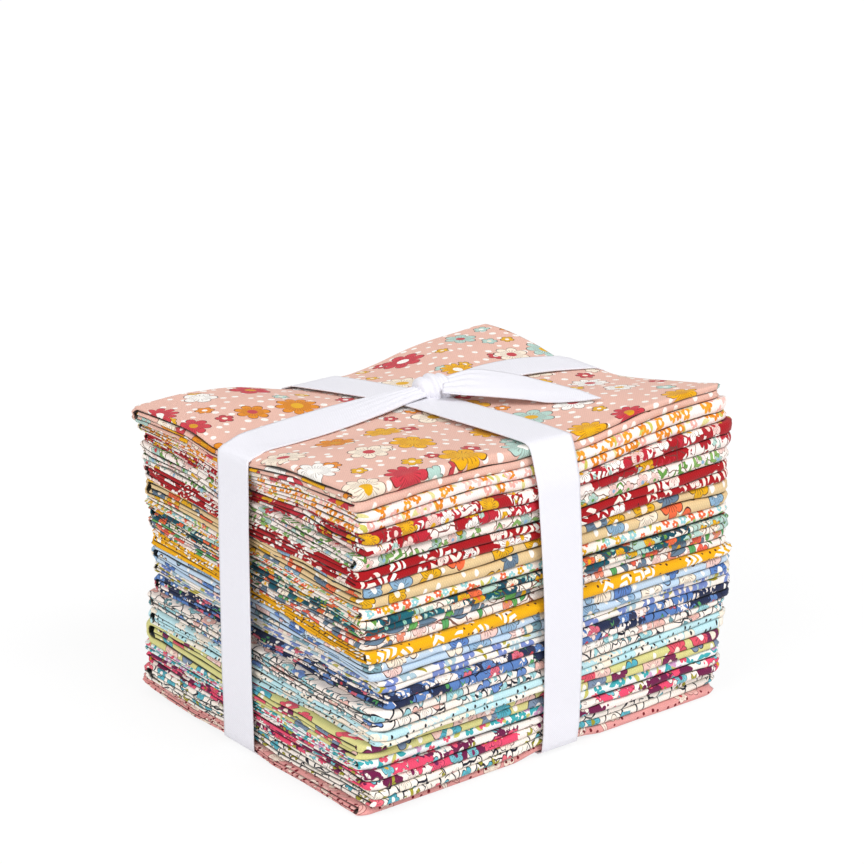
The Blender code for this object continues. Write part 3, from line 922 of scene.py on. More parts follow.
# The prints from the top down: a ground colour, then motifs from the lowest up
PRINTS = (
    ((231, 185, 169), (
        dots(5.8, 0.98, WHITE, jitter=0.6),
        flowers(14.5, 3.3, (CRIMSON, MUSTARD, ORANGE, MINT, CRIMSON, CREAM), (WHITE, CREAM),
                spread=2, fill=0.62, jitter=0.7, line=0.26, heart=0.28),
        flowers(20.5, 7.1, ((236, 172, 0), MINT, WHITE, (226, 138, 14), CREAM,
                            (206, 56, 70), (236, 172, 0), WHITE),
                (CRIMSON, MUSTARD, (214, 150, 10), WHITE), spread=7, fill=0.88,
                jitter=0.42, line=0.30, heart=0.28, vein=0.45, ink=(84, 36, 30)),
    )),
    ((253, 240, 234), (
        leaves(6.0, 2.9, 0.9, (LIME, (224, 216, 150)), fill=0.75),
        flowers(6.2, 2.6, (ORANGE, (250, 198, 188), (244, 176, 166), ORANGE), (WHITE, CREAM),
                fill=0.92, heart=0.30, notch=0.5),
        flowers(9.0, 2.5, ((240, 160, 40), (248, 190, 180)), (WHITE, CREAM),
                fill=0.7, heart=0.32, notch=0.5),
    )),
    ((251, 238, 231), (
        patches(9.5, 0.72, ((170, 12, 26), (170, 12, 26), (190, 34, 52)), wave=9.0),
        stems(7.5, 0.20, (120, 52, 48)),
        leaves(7.2, 4.2, 1.4, (WHITE, (250, 236, 228), WHITE), fill=0.55, ribs=2.6, bend=1.2),
        leaves(9.0, 4.0, 1.6, (MUSTARD, MINT), fill=0.60, line=0.18, ribs=2.2),
        flowers(9.5, 4.3, (MUSTARD, WHITE, RED, MUSTARD, BLUSH), (MUSTARD, BLUSH, RED),
                spread=4, fill=0.80, line=0.22, heart=0.28, vein=0.7,
                ink=(120, 52, 48)),
    )),
    ((252, 241, 233), (
        stems(9.0, 0.24, (120, 96, 80)),
        flowers(8.0, 3.4, ((252, 241, 233), MINT, BLUSH), (LEAF, SKY), spread=3,
                fill=0.85, line=0.24, heart=0.26, vein=0.6, ink=(96, 72, 62)),
        leaves(9.5, 5.4, 2.6, (LEAF, (134, 176, 96)), fill=0.80, line=0.24, ribs=1.7),
        flowers(12.5, 4.2, (MUSTARD, CRIMSON, BLUSH, MINT), (SKY, CRIMSON),
                spread=2, fill=0.70, line=0.26, heart=0.28, vein=0.6),
    )),
    ((168, 8, 20), (
        leaves(8.6, 6.4, 2.7, (WHITE, (252, 236, 224)), fill=0.74, ribs=2.0, bend=1.8),
        flowers(12.5, 4.4, (WHITE, (250, 228, 218)), (MUSTARD, RED), spread=4,
                fill=0.75, line=0.20, heart=0.22, vein=0.8, ink=(150, 30, 40)),
        dots(4.6, 0.32, (84, 8, 20), fill=0.5),
    )),
    ((228, 199, 150), (
        dots(7.5, 0.9, WHITE, jitter=0.5),
        flowers(11.0, 5.2, (SLATE, MUSTARD, TANGERINE, (140, 176, 204), MUSTARD, CREAM),
                (CREAM, WHITE), spread=2, fill=0.86, line=0.30, heart=0.26,
                vein=0.6, notch=0.34),
    )),
    ((253, 243, 235), (
        leaves(5.2, 2.7, 0.8, (LIME, (150, 190, 120)), fill=0.75),
        flowers(5.2, 2.2, (TANGERINE, (150, 208, 214), (150, 208, 214), MUSTARD),
                (WHITE, CREAM), fill=0.92, heart=0.28, notch=0.5),
        flowers(7.5, 2.1, (TANGERINE, MUSTARD), (WHITE, CREAM), fill=0.7,
                heart=0.3, notch=0.5),
    )),
    ((251, 238, 225), (
        patches(8.5, 0.80, ((8, 72, 90), (12, 84, 100), (20, 98, 112), MINT), wave=9.0),
        stems(7.0, 0.20, (96, 56, 44)),
        leaves(6.5, 3.8, 1.5, ((150, 212, 188), LEAF, (250, 240, 226)), fill=0.80,
               line=0.18, ribs=2.4),
        flowers(8.5, 3.5, (TANGERINE, (250, 236, 214), TANGERINE, MUSTARD, (250, 236, 214)),
                (MUSTARD, TANGERINE), spread=4, fill=0.80, line=0.22, heart=0.26,
                vein=0.7, ink=(96, 56, 44)),
    )),
    ((252, 241, 234), (
        stems(9.0, 0.22, (126, 84, 74)),
        flowers(8.5, 3.6, ((252, 236, 222), (244, 150, 120), BLUSH), (MUSTARD, WHITE),
                spread=3, fill=0.80, line=0.24, heart=0.28, vein=0.6,
                ink=(126, 84, 74)),
        leaves(9.0, 6.2, 1.8, ((92, 170, 100), (104, 178, 92), SLATE), fill=0.90, line=0.2),
        flowers(11.0, 4.5, ((240, 100, 76), (240, 100, 76), SLATE), (MUSTARD, WHITE),
                spread=3, fill=0.66, line=0.24, heart=0.26, vein=0.6,
                ink=(110, 66, 60)),
    )),
    ((240, 176, 0), (
        leaves(8.4, 6.4, 2.7, (WHITE, WHITE), fill=0.76, bend=1.8, ribs=2.0),
        dots(3.8, 0.48, (90, 36, 20), fill=0.72, jitter=0.6),
    )),
    ((196, 217, 237), (
        dots(6.5, 0.75, WHITE, jitter=0.5),
        flowers(10.5, 5.0, ((92, 132, 198), (126, 164, 176), CREAM, (150, 184, 214),
                            (92, 132, 198), BLUSH), (WHITE, CREAM),
                spread=2, fill=0.86, line=0.32, heart=0.26, vein=0.6, notch=0.34),
    )),
    ((252, 243, 234), (
        patches(9.0, 0.18, ((182, 206, 214), (200, 218, 222)), wave=8.0),
        leaves(7.5, 4.4, 1.4, ((176, 160, 44), (196, 184, 90)), fill=0.70),
        flowers(8.5, 4.0, ((124, 142, 202), (172, 198, 210), (124, 142, 202)),
                (CREAM, WHITE), fill=0.82, heart=0.24, notch=0.55),
    )),
    ((252, 240, 233), (
        patches(9.5, 0.68, ((32, 42, 76), (32, 42, 76), (90, 128, 190)), wave=8.0),
        stems(7.0, 0.24, (30, 36, 62)),
        leaves(7.0, 3.9, 1.7, ((84, 164, 96), (246, 232, 220), (250, 240, 232)), fill=0.78,
               line=0.18, ribs=2.2),
        flowers(8.5, 3.8, ((96, 134, 194), (246, 220, 210), (40, 50, 84), (226, 108, 128),
                           (96, 134, 194)), (WHITE, CRIMSON), spread=3, fill=0.74,
                line=0.22, heart=0.26, vein=0.6),
    )),
    ((252, 241, 232), (
        stems(7.5, 0.30, DARK),
        leaves(8.0, 4.6, 2.2, ((112, 158, 166), (160, 210, 216)), fill=0.58, line=0.30,
               ribs=1.8, ink=DARK),
        flowers(9.5, 4.4, ((240, 190, 178), (110, 144, 206), (160, 212, 218),
                           (252, 240, 230)), (WHITE, CREAM), spread=1,
                fill=0.74, line=0.32, heart=0.28, vein=0.5, ink=DARK, notch=0.34),
    )),
    ((194, 230, 236), (
        patches(9.0, 0.28, ((248, 236, 218), (250, 242, 230)), wave=9.0),
        flowers(11.0, 3.8, ((248, 236, 218), (250, 242, 230)), (CREAM, AQUA),
                spread=3, fill=0.55, line=0.20, heart=0.2, ink=(120, 170, 176)),
        dots(3.2, 0.46, (26, 26, 36), fill=0.84, jitter=0.7),
    )),
    ((216, 211, 140), (
        dots(7.0, 0.85, WHITE, jitter=0.5),
        flowers(11.0, 5.2, ((228, 84, 104), (126, 146, 172), (84, 176, 194), PLUM,
                            (240, 200, 190)), (WHITE, CREAM), spread=2,
                fill=0.84, line=0.30, heart=0.26, vein=0.5, notch=0.36),
    )),
    ((244, 249, 249), (
        leaves(5.4, 2.8, 1.0, ((210, 206, 110), (64, 174, 182)), fill=0.75),
        flowers(6.2, 2.8, ((238, 92, 118), (64, 174, 182), (218, 164, 206), (64, 174, 182)),
                (WHITE, CREAM), fill=0.92, heart=0.26, notch=0.5),
    )),
    ((251, 239, 232), (
        patches(9.0, 0.56, ((112, 22, 72), (112, 22, 72), (238, 76, 112)), wave=8.0),
        leaves(7.0, 3.8, 1.7, ((168, 162, 52), (122, 196, 208), (250, 238, 230)), fill=0.76,
               line=0.22, ribs=2.0, ink=(60, 24, 50)),
        flowers(8.5, 3.8, ((238, 84, 118), (122, 196, 208), (250, 236, 226), (238, 84, 118)),
                (MUSTARD, PLUM), spread=2, fill=0.80, line=0.24, heart=0.26,
                vein=0.6, ink=(60, 24, 50)),
    )),
    ((252, 243, 233), (
        stems(7.5, 0.30, DARK),
        leaves(7.5, 4.6, 2.1, ((168, 160, 52), (168, 160, 52), (250, 242, 230)), fill=0.66,
               line=0.30, ribs=1.8, ink=DARK),
        flowers(9.5, 4.2, ((234, 110, 124), (92, 182, 198), (92, 182, 198), (248, 238, 222)),
                (WHITE, OLIVE), spread=2, fill=0.68, line=0.30, heart=0.26,
                vein=0.5, ink=DARK),
    )),
    ((230, 160, 156), (
        leaves(8.5, 3.8, 1.2, ((250, 228, 214), (232, 176, 168)), fill=0.55, line=0.2,
               ink=(120, 30, 44)),
        flowers(10.0, 4.0, ((250, 230, 214), (240, 188, 180)), (CRIMSON, CREAM),
                spread=2, fill=0.6, line=0.24, heart=0.24, vein=0.5, ink=(120, 30, 44)),
        dots(3.8, 0.58, (120, 16, 34), fill=0.85, jitter=0.6),
    )),
)


def motif_place(index, layer):
    """A fixed offset for one scatter, so that no two scatters share a layout."""
    random = np.random.RandomState(900 + 17 * index + 5 * layer)
    first, second = random.uniform(0.0, 40.0, 2)
    return (first, second, 0.0)


def draw_shape(graph, colour, spec, group, **values):
    """Lay one plain shape in one colour over the colour so far."""
    shape = use_group(graph, group, **values)["Shape"]
    return graph.mix(shape, colour, linear(spec["colour"]))


def draw_patches(graph, colour, spec, common):
    """Lay blots over the colour so far."""
    parts = use_group(graph, "patches", Fill=spec["fill"], Wave=spec["wave"], **common)
    return graph.mix(parts["Shape"], colour, palette(graph, parts["Pick"], spec["colours"]))


def draw_outline(graph, colour, spec, parts):
    """Ink the outlines of flowers or leaves that have them."""
    if "line" not in spec:
        return colour
    return graph.mix(graph.clamp(parts["Line"]), colour, linear(spec.get("ink", INK)))


def draw_leaves(graph, colour, spec, common):
    """Lay leaves over the colour so far."""
    parts = use_group(graph, "leaf", Length=spec["length"], Width=spec["width"],
                      Line=spec.get("line", 0.0), Bend=spec.get("bend", 0.5),
                      Ribs=spec.get("ribs", 0.0), **common)
    colour = graph.mix(parts["Shape"], colour, palette(graph, parts["Pick"], spec["colours"]))
    return draw_outline(graph, colour, spec, parts)


def draw_flowers(graph, colour, spec, common):
    """Lay flowers with their veins, centres and outlines over the colour so far."""
    parts = use_group(graph, "flower", Radius=spec["radius"],
                      Spread=float(spec.get("spread", 0)), Notch=spec.get("notch", 0.42),
                      Line=spec.get("line", 0.0), Heart=spec["heart"], **common)
    petal = palette(graph, parts["Pick"], spec["colours"])
    if "vein" in spec:
        ink = linear(spec.get("ink", INK))
        petal = graph.mix(graph.times(parts["Vein"], spec["vein"]), petal, ink)
    colour = graph.mix(parts["Shape"], colour, petal)
    heart_pick = graph.math("FRACT", graph.times(parts["Pick"], 5.7))
    colour = graph.mix(parts["Heart"], colour, palette(graph, heart_pick, spec["hearts"]))
    return draw_outline(graph, colour, spec, parts)


def draw_layer(graph, place, colour, index, layer, spec):
    """Draw one layer of motifs over the colour so far."""
    kind = spec["kind"]
    common = dict(Place=place, Cell=spec["cell"], Offset=motif_place(index, layer))
    if kind == "stems":
        return draw_shape(graph, colour, spec, kind, Width=spec["width"], **common)
    if kind == "patches":
        return draw_patches(graph, colour, spec, common)
    common["Jitter"] = spec.get("jitter", 0.75)
    common["Fill"] = spec.get("fill", 1.0)
    if kind == "dots":
        return draw_shape(graph, colour, spec, kind, Radius=spec["radius"], **common)
    if kind == "leaf":
        return draw_leaves(graph, colour, spec, common)
    return draw_flowers(graph, colour, spec, common)


# The two cloths: thread pitch in millimetres, relief in metres, and for the looks the
# painted shade in the weave's hollows, the painted shade in crevices and the slow
# unevenness of the cloth
QUILTING_COTTON = dict(pitch=0.45, depth=0.00012, roughness=0.88, sheen=0.10,
                       painted_weave_shade=0.07, painted_crevice_shade=0.96, cloud=0.12)
RIBBON_COTTON = dict(pitch=0.36, depth=0.00010, roughness=0.7, sheen=0.1,
                     painted_weave_shade=0.04, painted_crevice_shade=0.0, cloud=0.03)


def cloth_shader(graph, place, colour, *, pitch, depth, roughness, sheen, painted_weave_shade,
                 painted_crevice_shade, cloud):
    """Close a cloth material: relief, painted shade in weave and crevices, slight unevenness,
    soft sheen.
    """
    height = use_group(graph, "weave", Place=place, Pitch=pitch)["Height"]
    unevenness = graph.noise(place, 0.9, 3.0)[0]
    # Painted shade: the colour darkens in the weave's hollows
    shade = graph.times_plus(height, painted_weave_shade, 1.0 - painted_weave_shade)
    shade = graph.times_plus(graph.minus(unevenness, 0.5), cloud, shade)
    # Painted shade in crevices: the colour darkens by the crevice attribute
    if painted_crevice_shade > 0.0:
        crevice = graph.add("ShaderNodeAttribute", attribute_name="crevice")
        inside = graph.times_plus(crevice.outputs["Fac"], -painted_crevice_shade, 1.0)
        shade = graph.times(shade, inside)
    grey = graph.add("ShaderNodeCombineColor")
    for socket in grey.inputs[:3]:
        graph.feed(socket, shade)
    bump = graph.add("ShaderNodeBump")
    bump.inputs["Strength"].default_value = 0.35
    bump.inputs["Distance"].default_value = depth
    graph.feed(bump.inputs["Height"], height)
    tinted = graph.mix(1.0, colour, grey.outputs[0], blend_type="MULTIPLY")
    shader = graph.tree.nodes["Principled BSDF"]
    graph.feed(shader.inputs["Base Color"], tinted)
    graph.feed(shader.inputs["Normal"], bump.outputs[0])
    shader.inputs["Roughness"].default_value = roughness
    shader.inputs["Specular IOR Level"].default_value = 0.25
    shader.inputs["Sheen Weight"].default_value = sheen
    shader.inputs["Sheen Roughness"].default_value = 0.5


def cloth_material(name):
    """A material with its graph and the cloth's flat place in millimetres."""
    material = bpy.data.materials.new(name)
    material.use_nodes = True
    graph = Graph(material.node_tree)
    uv_map = graph.add("ShaderNodeUVMap", uv_map="cloth")
    place = graph.scaled(uv_map.outputs[0], 1.0 / MM)
    return material, graph, place


def print_material(index):
    """The printed cotton of one fat quarter."""
    material, graph, place = cloth_material("print_%02d" % (index + 1))
    ground, layers = PRINTS[index]
    colour = palette(graph, 0.0, (ground,))
    pattern = graph.scaled(place, FINER[index])
    for layer, spec in enumerate(layers):
        colour = draw_layer(graph, pattern, colour, index, layer, spec)
    cloth_shader(graph, place, colour, **QUILTING_COTTON)
    return material


def ribbon_material():
    """Plain white cotton ribbon."""
    material, graph, place = cloth_material("ribbon_white")
    colour = palette(graph, 0.0, ((233, 232, 239),))
    cloth_shader(graph, place, colour, **RIBBON_COTTON)
    return material


def build_fat_quarters():
    """All twenty fat quarters as folded sheets."""
    for index in range(COUNT):
        name = "fat_quarter_%02d" % (index + 1)
        points, coordinates, painted_shade = sheet_points(index)
        rows, columns = points.shape[:2]
        faces = grid_faces(rows, columns)
        if FAT_QUARTERS[index][0] == FRONT:
            faces = faces[:, ::-1]
        piece = mesh_object(
            name + "_cloth", points.reshape(-1, 3), faces,
            coordinates.reshape(-1, 2), print_material(index), painted_shade,
        )
        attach(piece, "root")
        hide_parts(name)


# The ribbon

RIBBON_WIDTH = 0.016
RIBBON_THICK = 0.00035
RIBBON_LIFT = 0.00042
RIBBON_CORNER = 0.0010
RIBBON_EASE = 0.0008
RIBBON_STEP = 0.0022
RIBBON_COLUMNS = 19
# Steps of the section along the top, and of a round bend in degrees
SECTION_STEPS = 24
BEND_STEP = 12.0

# Heights above which the faces' bends are eased, below which they are, and from which
# a strap has the shift and width of its table, then the runs of these changes
FOOT_HEIGHT = 0.010
TOP_HEIGHT = 0.086
TABLE_HEIGHT = 0.092
EASE_RUN = 0.014
TOP_RUN = 0.006
TOP_EDGE_RUN = 0.004
# How many steps the bends on the faces are eased over, and how far that is set out
EASE_STEPS = 9
EASE_OUT = 0.0002
# How fast the pleats of a gathered strap wander across it
PLEAT_DRIFT = 0.006


def convex_hull(points):
    """Counter-clockwise hull of points in a plane."""
    ordered = sorted(set(points))

    def half_hull(sequence):
        chain = []
        for point in sequence:
            while len(chain) > 1:
                ax, ay = chain[-1][0] - chain[-2][0], chain[-1][1] - chain[-2][1]
                bx, by = point[0] - chain[-2][0], point[1] - chain[-2][1]
                if ax * by - ay * bx > 1e-12:
                    break
                chain.pop()
            chain.append(point)
        return chain[:-1]

    return half_hull(ordered) + half_hull(ordered[::-1])


def strap_line(along_x):
    """The line that a strap keeps to across the stack, and half the side it spans."""
    if along_x:
        return STRAP_Y_CENTRE, HALF_LENGTH
    return STRAP_X_CENTRE, HALF_DEPTH


def in_plan(along_x, run, across):
    """A strap's run and place across as X and Y."""
    return (run, across) if along_x else (across, run)


def end_points(index, along_x, across, end):
    """Points of one fat quarter's section at one end, rounded at the top piece's edge."""
    shift_x, shift_y, heading = FAT_QUARTERS[index][4:]
    turn = math.tan(math.radians(heading))
    shift = (shift_x if along_x else shift_y) * MM
    swing = -turn * across if along_x else turn * across
    run = end + shift + swing
    x, y = in_plan(along_x, run, across)
    inside = run - math.copysign(RIBBON_CORNER, end)
    top_inset = RIBBON_CORNER if index == 0 else 0.0
    low_inset = RIBBON_CORNER if index == COUNT - 1 else 0.0
    top = float(layer_height(index, LAYERS, x, y)) - top_inset
    points = [(inside, float(layer_height(index, 0.0, x, y)) + low_inset)]
    ease = RIBBON_EASE if index == 0 and not along_x else 0.0
    for degrees in (0.0, 30.0, 60.0, 90.0):
        angle = math.radians(degrees)
        back = math.copysign(ease * (1.0 - math.cos(angle)), end)
        points.append((inside - back, top - ease * (1.0 - math.sin(angle))))
    return points


def strap_section(along_x):
    """Points of the stack's section under a strap, a corner radius inside."""
    points = []
    half = RIBBON_WIDTH / 2
    centre, side = strap_line(along_x)
    for index in range(COUNT):
        reaches = end_reaches(index) if along_x else (FRONT_FULLNESS, FRONT_FULLNESS)
        for across in (centre - half, centre + half):
            for end in (-side - reaches[0], side + reaches[1]):
                points += end_points(index, along_x, across, end)
    for step in range(1, SECTION_STEPS):
        run = -side + 2 * side * step / SECTION_STEPS
        if abs(run) > side - 2 * RIBBON_CORNER:
            continue
        for across in (centre - half, centre, centre + half):
            x, y = in_plan(along_x, run, across)
            points.append((run, float(layer_height(0, LAYERS, x, y)) - RIBBON_CORNER))
    lowest = DENT + RIBBON_CORNER
    return [(run, max(z, lowest)) for run, z in points]


def strap_loop(along_x):
    """Closed line of a taut strap around the stack, evenly stepped."""
    hull = convex_hull(strap_section(along_x))
    radius = RIBBON_CORNER + RIBBON_LIFT
    line = []
    for index, corner in enumerate(hull):
        before, after = hull[index - 1], hull[(index + 1) % len(hull)]
        start = math.atan2(corner[1] - before[1], corner[0] - before[0]) - math.pi / 2
        end = math.atan2(after[1] - corner[1], after[0] - corner[0]) - math.pi / 2
        turn = (end - start) % (2 * math.pi)
        steps = max(1, round(turn / math.radians(BEND_STEP)))
        for step in range(steps + 1):
            angle = start + turn * step / steps
            line.append((corner[0] + radius * math.cos(angle),
                         corner[1] + radius * math.sin(angle)))
    loop = resample(np.array(line + line[:1]), RIBBON_STEP)[:-1]
    underneath = int(np.argmin(np.abs(loop[:, 0]) + 10.0 * loop[:, 1]))
    loop = np.roll(loop, -underneath, axis=0)
    return np.vstack([loop, loop[:1]])


def resample(line, step):
    """Points at even steps along a line."""
    lengths = np.linalg.norm(np.diff(line, axis=0), axis=1)
    along = np.concatenate([[0.0], np.cumsum(lengths)])
    count = max(3, int(round(along[-1] / step)) + 1)
    wanted = np.linspace(0.0, along[-1], count)
    return np.stack([np.interp(wanted, along, line[:, i]) for i in range(line.shape[1])], axis=1)


def strip_mesh(parts, name, material):
    """Join strips into one object and give it the ribbon's thickness."""
    points, faces, coordinates, start = [], [], [], 0
    for rows in parts:
        count, across = rows.shape[:2]
        steps = np.linalg.norm(np.diff(rows[:, across // 2], axis=0), axis=1)
        along = np.concatenate([[0.0], np.cumsum(steps)])
        v = np.linspace(-RIBBON_WIDTH / 2, RIBBON_WIDTH / 2, across)
        grid_v, grid_u = np.meshgrid(v, along)
        points.append(rows.reshape(-1, 3))
        faces.append(grid_faces(count, across, start))
        coordinates.append(np.stack([grid_u, grid_v], axis=-1).reshape(-1, 2))
        start += count * across
    piece = mesh_object(name, np.concatenate(points), np.concatenate(faces),
                        np.concatenate(coordinates), material)
    solidify = piece.modifiers.new("thickness", "SOLIDIFY")
    solidify.thickness = RIBBON_THICK
    solidify.offset = 0.0
    return piece


def curve_through(points, count):
    """A smooth Catmull-Rom curve through points."""
    points = np.array(points, dtype=float)
    padded = np.vstack([2 * points[0] - points[1], points, 2 * points[-1] - points[-2]])
    result = []
    spans = len(points) - 1
    for value in np.linspace(0.0, spans, count):
        span = min(int(value), spans - 1)
        t = value - span
        p0, p1, p2, p3 = padded[span:span + 4]
        result.append(0.5 * ((2 * p1) + (p2 - p0) * t + (2 * p0 - 5 * p1 + 4 * p2 - p3) * t * t
                             + (3 * p1 - p0 - 3 * p2 + p3) * t ** 3))
    return np.array(result)


# Each strap over the top: place along it, then its shift across, its width, how far
# its far edge stands up, its crown and its pleats, all in millimetres
STRAP_X_TOP = (
    (-76.0, -2.7, 15.2, 0.0, 0.0, 0.00, 0.0),
    (-66.0, -1.6, 16.2, 0.7, 0.0, 0.00, 0.0),
    (-50.0, -0.1, 16.4, 1.2, 0.1, 0.00, 0.1),
    (-32.0, 1.6, 15.6, 1.2, 0.3, 0.10, 0.4),
    (-18.0, 2.4, 13.4, 0.9, 0.6, 0.30, 0.9),
    (-7.0, 2.6, 10.0, 0.5, 1.0, 0.60, 1.5),
    (3.0, 2.4, 7.6, 0.0, 1.4, 0.75, 1.8),
    (13.0, 3.4, 8.4, 0.0, 1.1, 0.65, 1.6),
    (23.0, 5.2, 11.5, 0.3, 0.6, 0.35, 1.0),
    (35.0, 6.6, 14.2, 0.5, 0.3, 0.12, 0.5),
    (50.0, 6.0, 15.8, 0.4, 0.1, 0.00, 0.2),
    (63.0, 2.8, 16.2, 0.2, 0.0, 0.00, 0.0),
    (76.0, -0.5, 16.2, 0.0, 0.0, 0.00, 0.0),
)
STRAP_Y_TOP = (
    (-66.0, -4.6, 15.6, 0.0, 0.0, 0.00, 0.0),
    (-56.0, -3.9, 16.4, 0.3, 0.0, 0.00, 0.0),
    (-36.0, -3.0, 17.0, 0.3, 0.1, 0.00, 0.0),
    (-16.0, -3.4, 16.4, 0.2, 0.1, 0.00, 0.0),
    (-2.0, -3.6, 15.6, 0.0, 0.0, 0.05, 0.0),
    (12.0, -4.8, 15.4, 0.0, 0.0, 0.05, 0.0),
    (26.0, -7.2, 16.4, 0.3, 0.1, 0.00, 0.0),
    (42.0, -8.6, 17.4, 0.4, 0.0, 0.00, 0.0),
    (56.0, -8.4, 17.6, 0.2, 0.0, 0.00, 0.0),
    (66.0, -7.6, 17.0, 0.0, 0.0, 0.00, 0.0),
)
# Shifts across at the foot of the two faces that a strap runs down
STRAP_X_FEET = (-3.2, 0.0)
STRAP_Y_FEET = (-1.4, 0.0)
# Widths there, where the ribbon is drawn a little narrower on the front
STRAP_X_FOOT_WIDTHS = (15.6, 16.0)
STRAP_Y_FOOT_WIDTHS = (14.0, 16.0)


def smooth_table(rows, wanted):
    """Values of a table at even places along its first column, smoothly joined."""
    rows = np.array(rows)
    dense = curve_through(rows, 12 * len(rows))
    return np.stack([np.interp(wanted, dense[:, 0], dense[:, i])
                     for i in range(1, rows.shape[1])], axis=1)


def eased_faces(runs, heights):
    """The runs of a closed loop with its bends on the two upright faces eased."""
    kernel = np.hanning(2 * EASE_STEPS + 3)[1:-1]
    kernel = kernel / kernel.sum()
    ring = runs[:-1]
    padded = np.concatenate([ring[-EASE_STEPS:], ring, ring[:EASE_STEPS]])
    eased = np.convolve(padded, kernel, mode="valid")
    eased = np.append(eased, eased[0]) + np.sign(runs) * EASE_OUT
    from_foot = np.clip((heights - FOOT_HEIGHT) / EASE_RUN, 0.0, 1.0)
    from_top = np.clip((TOP_HEIGHT - heights) / EASE_RUN, 0.0, 1.0)
    share = from_foot * from_top
    share = share * share * (3.0 - 2.0 * share)
    return runs + (eased - runs) * share


def strap_strip(along_x, table, feet, foot_widths):
    """A whole strap as one closed strip, gathered where its table says."""
    loop = strap_loop(along_x)
    runs, heights = loop[:, 0], loop[:, 1]
    runs = eased_faces(runs, heights)
    shift, width, tilt, crown, pleat, lift = smooth_table(table, runs / MM).T * MM
    base, side = strap_line(along_x)
    foot = np.interp(runs, (-side, side), (feet[0] * MM, feet[1] * MM))
    top_share = np.clip(heights / TABLE_HEIGHT, 0.0, 1.0)
    on_top = np.clip((heights - TOP_HEIGHT) / TOP_RUN, 0.0, 1.0)
    on_top = on_top * np.clip((side - np.abs(runs)) / TOP_EDGE_RUN, 0.0, 1.0)
    centre = base + foot + (shift - foot) * top_share
    foot_width = np.interp(runs, (-side, side), np.array(foot_widths) * MM)
    width = foot_width + (width - foot_width) * top_share
    q = np.linspace(-1.0, 1.0, RIBBON_COLUMNS)[None, :]
    across = centre[:, None] + width[:, None] / 2 * q
    if not along_x:
        tilt = -tilt
    phase = 0.5 * np.sin(runs / PLEAT_DRIFT)[:, None]
    rise = tilt[:, None] / 2 * q + crown[:, None] * (0.6 - q * q)
    rise = rise + pleat[:, None] / 2 * np.cos(5.0 * math.pi * q + phase) + lift[:, None]
    run_grid = np.broadcast_to(runs[:, None], across.shape)
    z = heights[:, None] + rise * on_top[:, None]
    x, y = in_plan(along_x, run_grid, across)
    floor = top_cloth(x, y) + RIBBON_LIFT
    z = np.where(on_top[:, None] > 0.5, np.maximum(z, floor), z)
    return np.stack([x, y, z], axis=-1)


# The free end in millimetres: its near edge and then its far edge, each as its place
# in plan and its height over the cloth. The last row is the slanted cut.
TAIL_ROWS = (
    (2.0, -2.0, 2.8, 9.0, 6.0, 4.4),
    (5.2, -7.4, 2.9, 16.4, 2.6, 6.4),
    (10.2, -12.2, 2.5, 22.4, -2.6, 6.1),
    (14.7, -17.4, 2.0, 27.4, -9.4, 5.1),
    (18.4, -22.6, 1.5, 30.4, -18.0, 3.5),
    (20.5, -25.6, 0.9, 32.0, -28.0, 1.9),
    (21.7, -27.4, 0.5, 32.7, -41.0, 0.7),
)


# The pleats of the free end by the knot, the share of its length where they end, and
# its crown
TAIL_PLEAT = 0.0012
TAIL_PLEAT_END = 0.38
TAIL_CROWN = 0.0010
TAIL_CROWN_BASE = 0.0004

# The knot: its middle in plan, the heading in which its turn passes over the strap,
# and where that turn starts and how far it runs, in degrees
KNOT = (0.0056, 0.0068)
KNOT_HEADING = 70.0
KNOT_START = -48.0
KNOT_TURN = 276.0
KNOT_MIDDLE_HEIGHT = 0.0014
# Half its width, how much that swells and grows along the turn, and how it drifts
KNOT_HALF = 0.0050
KNOT_SWELL = 0.0012
KNOT_GROWTH = 0.0010
KNOT_DRIFT = 0.0030
# Its level and upright radii: the least, and what is added in the middle. The added
# part shrinks towards both rims, the more the nearer this share is to 1.
KNOT_FLAT_RADII = (0.0018, 0.0042)
KNOT_UP_RADII = (0.0010, 0.0038)
KNOT_RIM = 0.93
# Its creases: depth, waves across, drift along the turn and phase
KNOT_CREASES = ((0.00042, 3.2, 2.2, 0.4), (0.00022, 6.6, -2.6, 0.0))


def top_cloth(x, y):
    """Height of the top cloth at a point, in metres."""
    return layer_height(0, LAYERS - (0.5 - PLY_REACH), np.array(x), np.array(y))


def tail_strip():
    """The free end that leaves the knot and lies over the top."""
    table = curve_through(TAIL_ROWS, 64)
    rows = []
    for i, row in enumerate(table):
        share = i / (len(table) - 1)
        near, far = row[0:3] * MM, row[3:6] * MM
        middle, reach = (near + far) / 2, (far - near) / 2
        pleat = TAIL_PLEAT * max(0.0, 1.0 - share / TAIL_PLEAT_END) ** 1.3
        bow = math.sin(math.pi * min(1.0, share + 0.25))
        crown = TAIL_CROWN * bow - TAIL_CROWN_BASE
        line = []
        for t in np.linspace(-1.0, 1.0, RIBBON_COLUMNS):
            place = middle + reach * t
            rise = place[2] + crown * (1.0 - t * t)
            rise += pleat / 2 * math.cos(4.0 * math.pi * t + 2.5 * share)
            floor = float(top_cloth(place[0], place[1])) + RIBBON_LIFT
            line.append((place[0], place[1], floor + max(rise, 0.0)))
        rows.append(line)
    return np.array(rows)


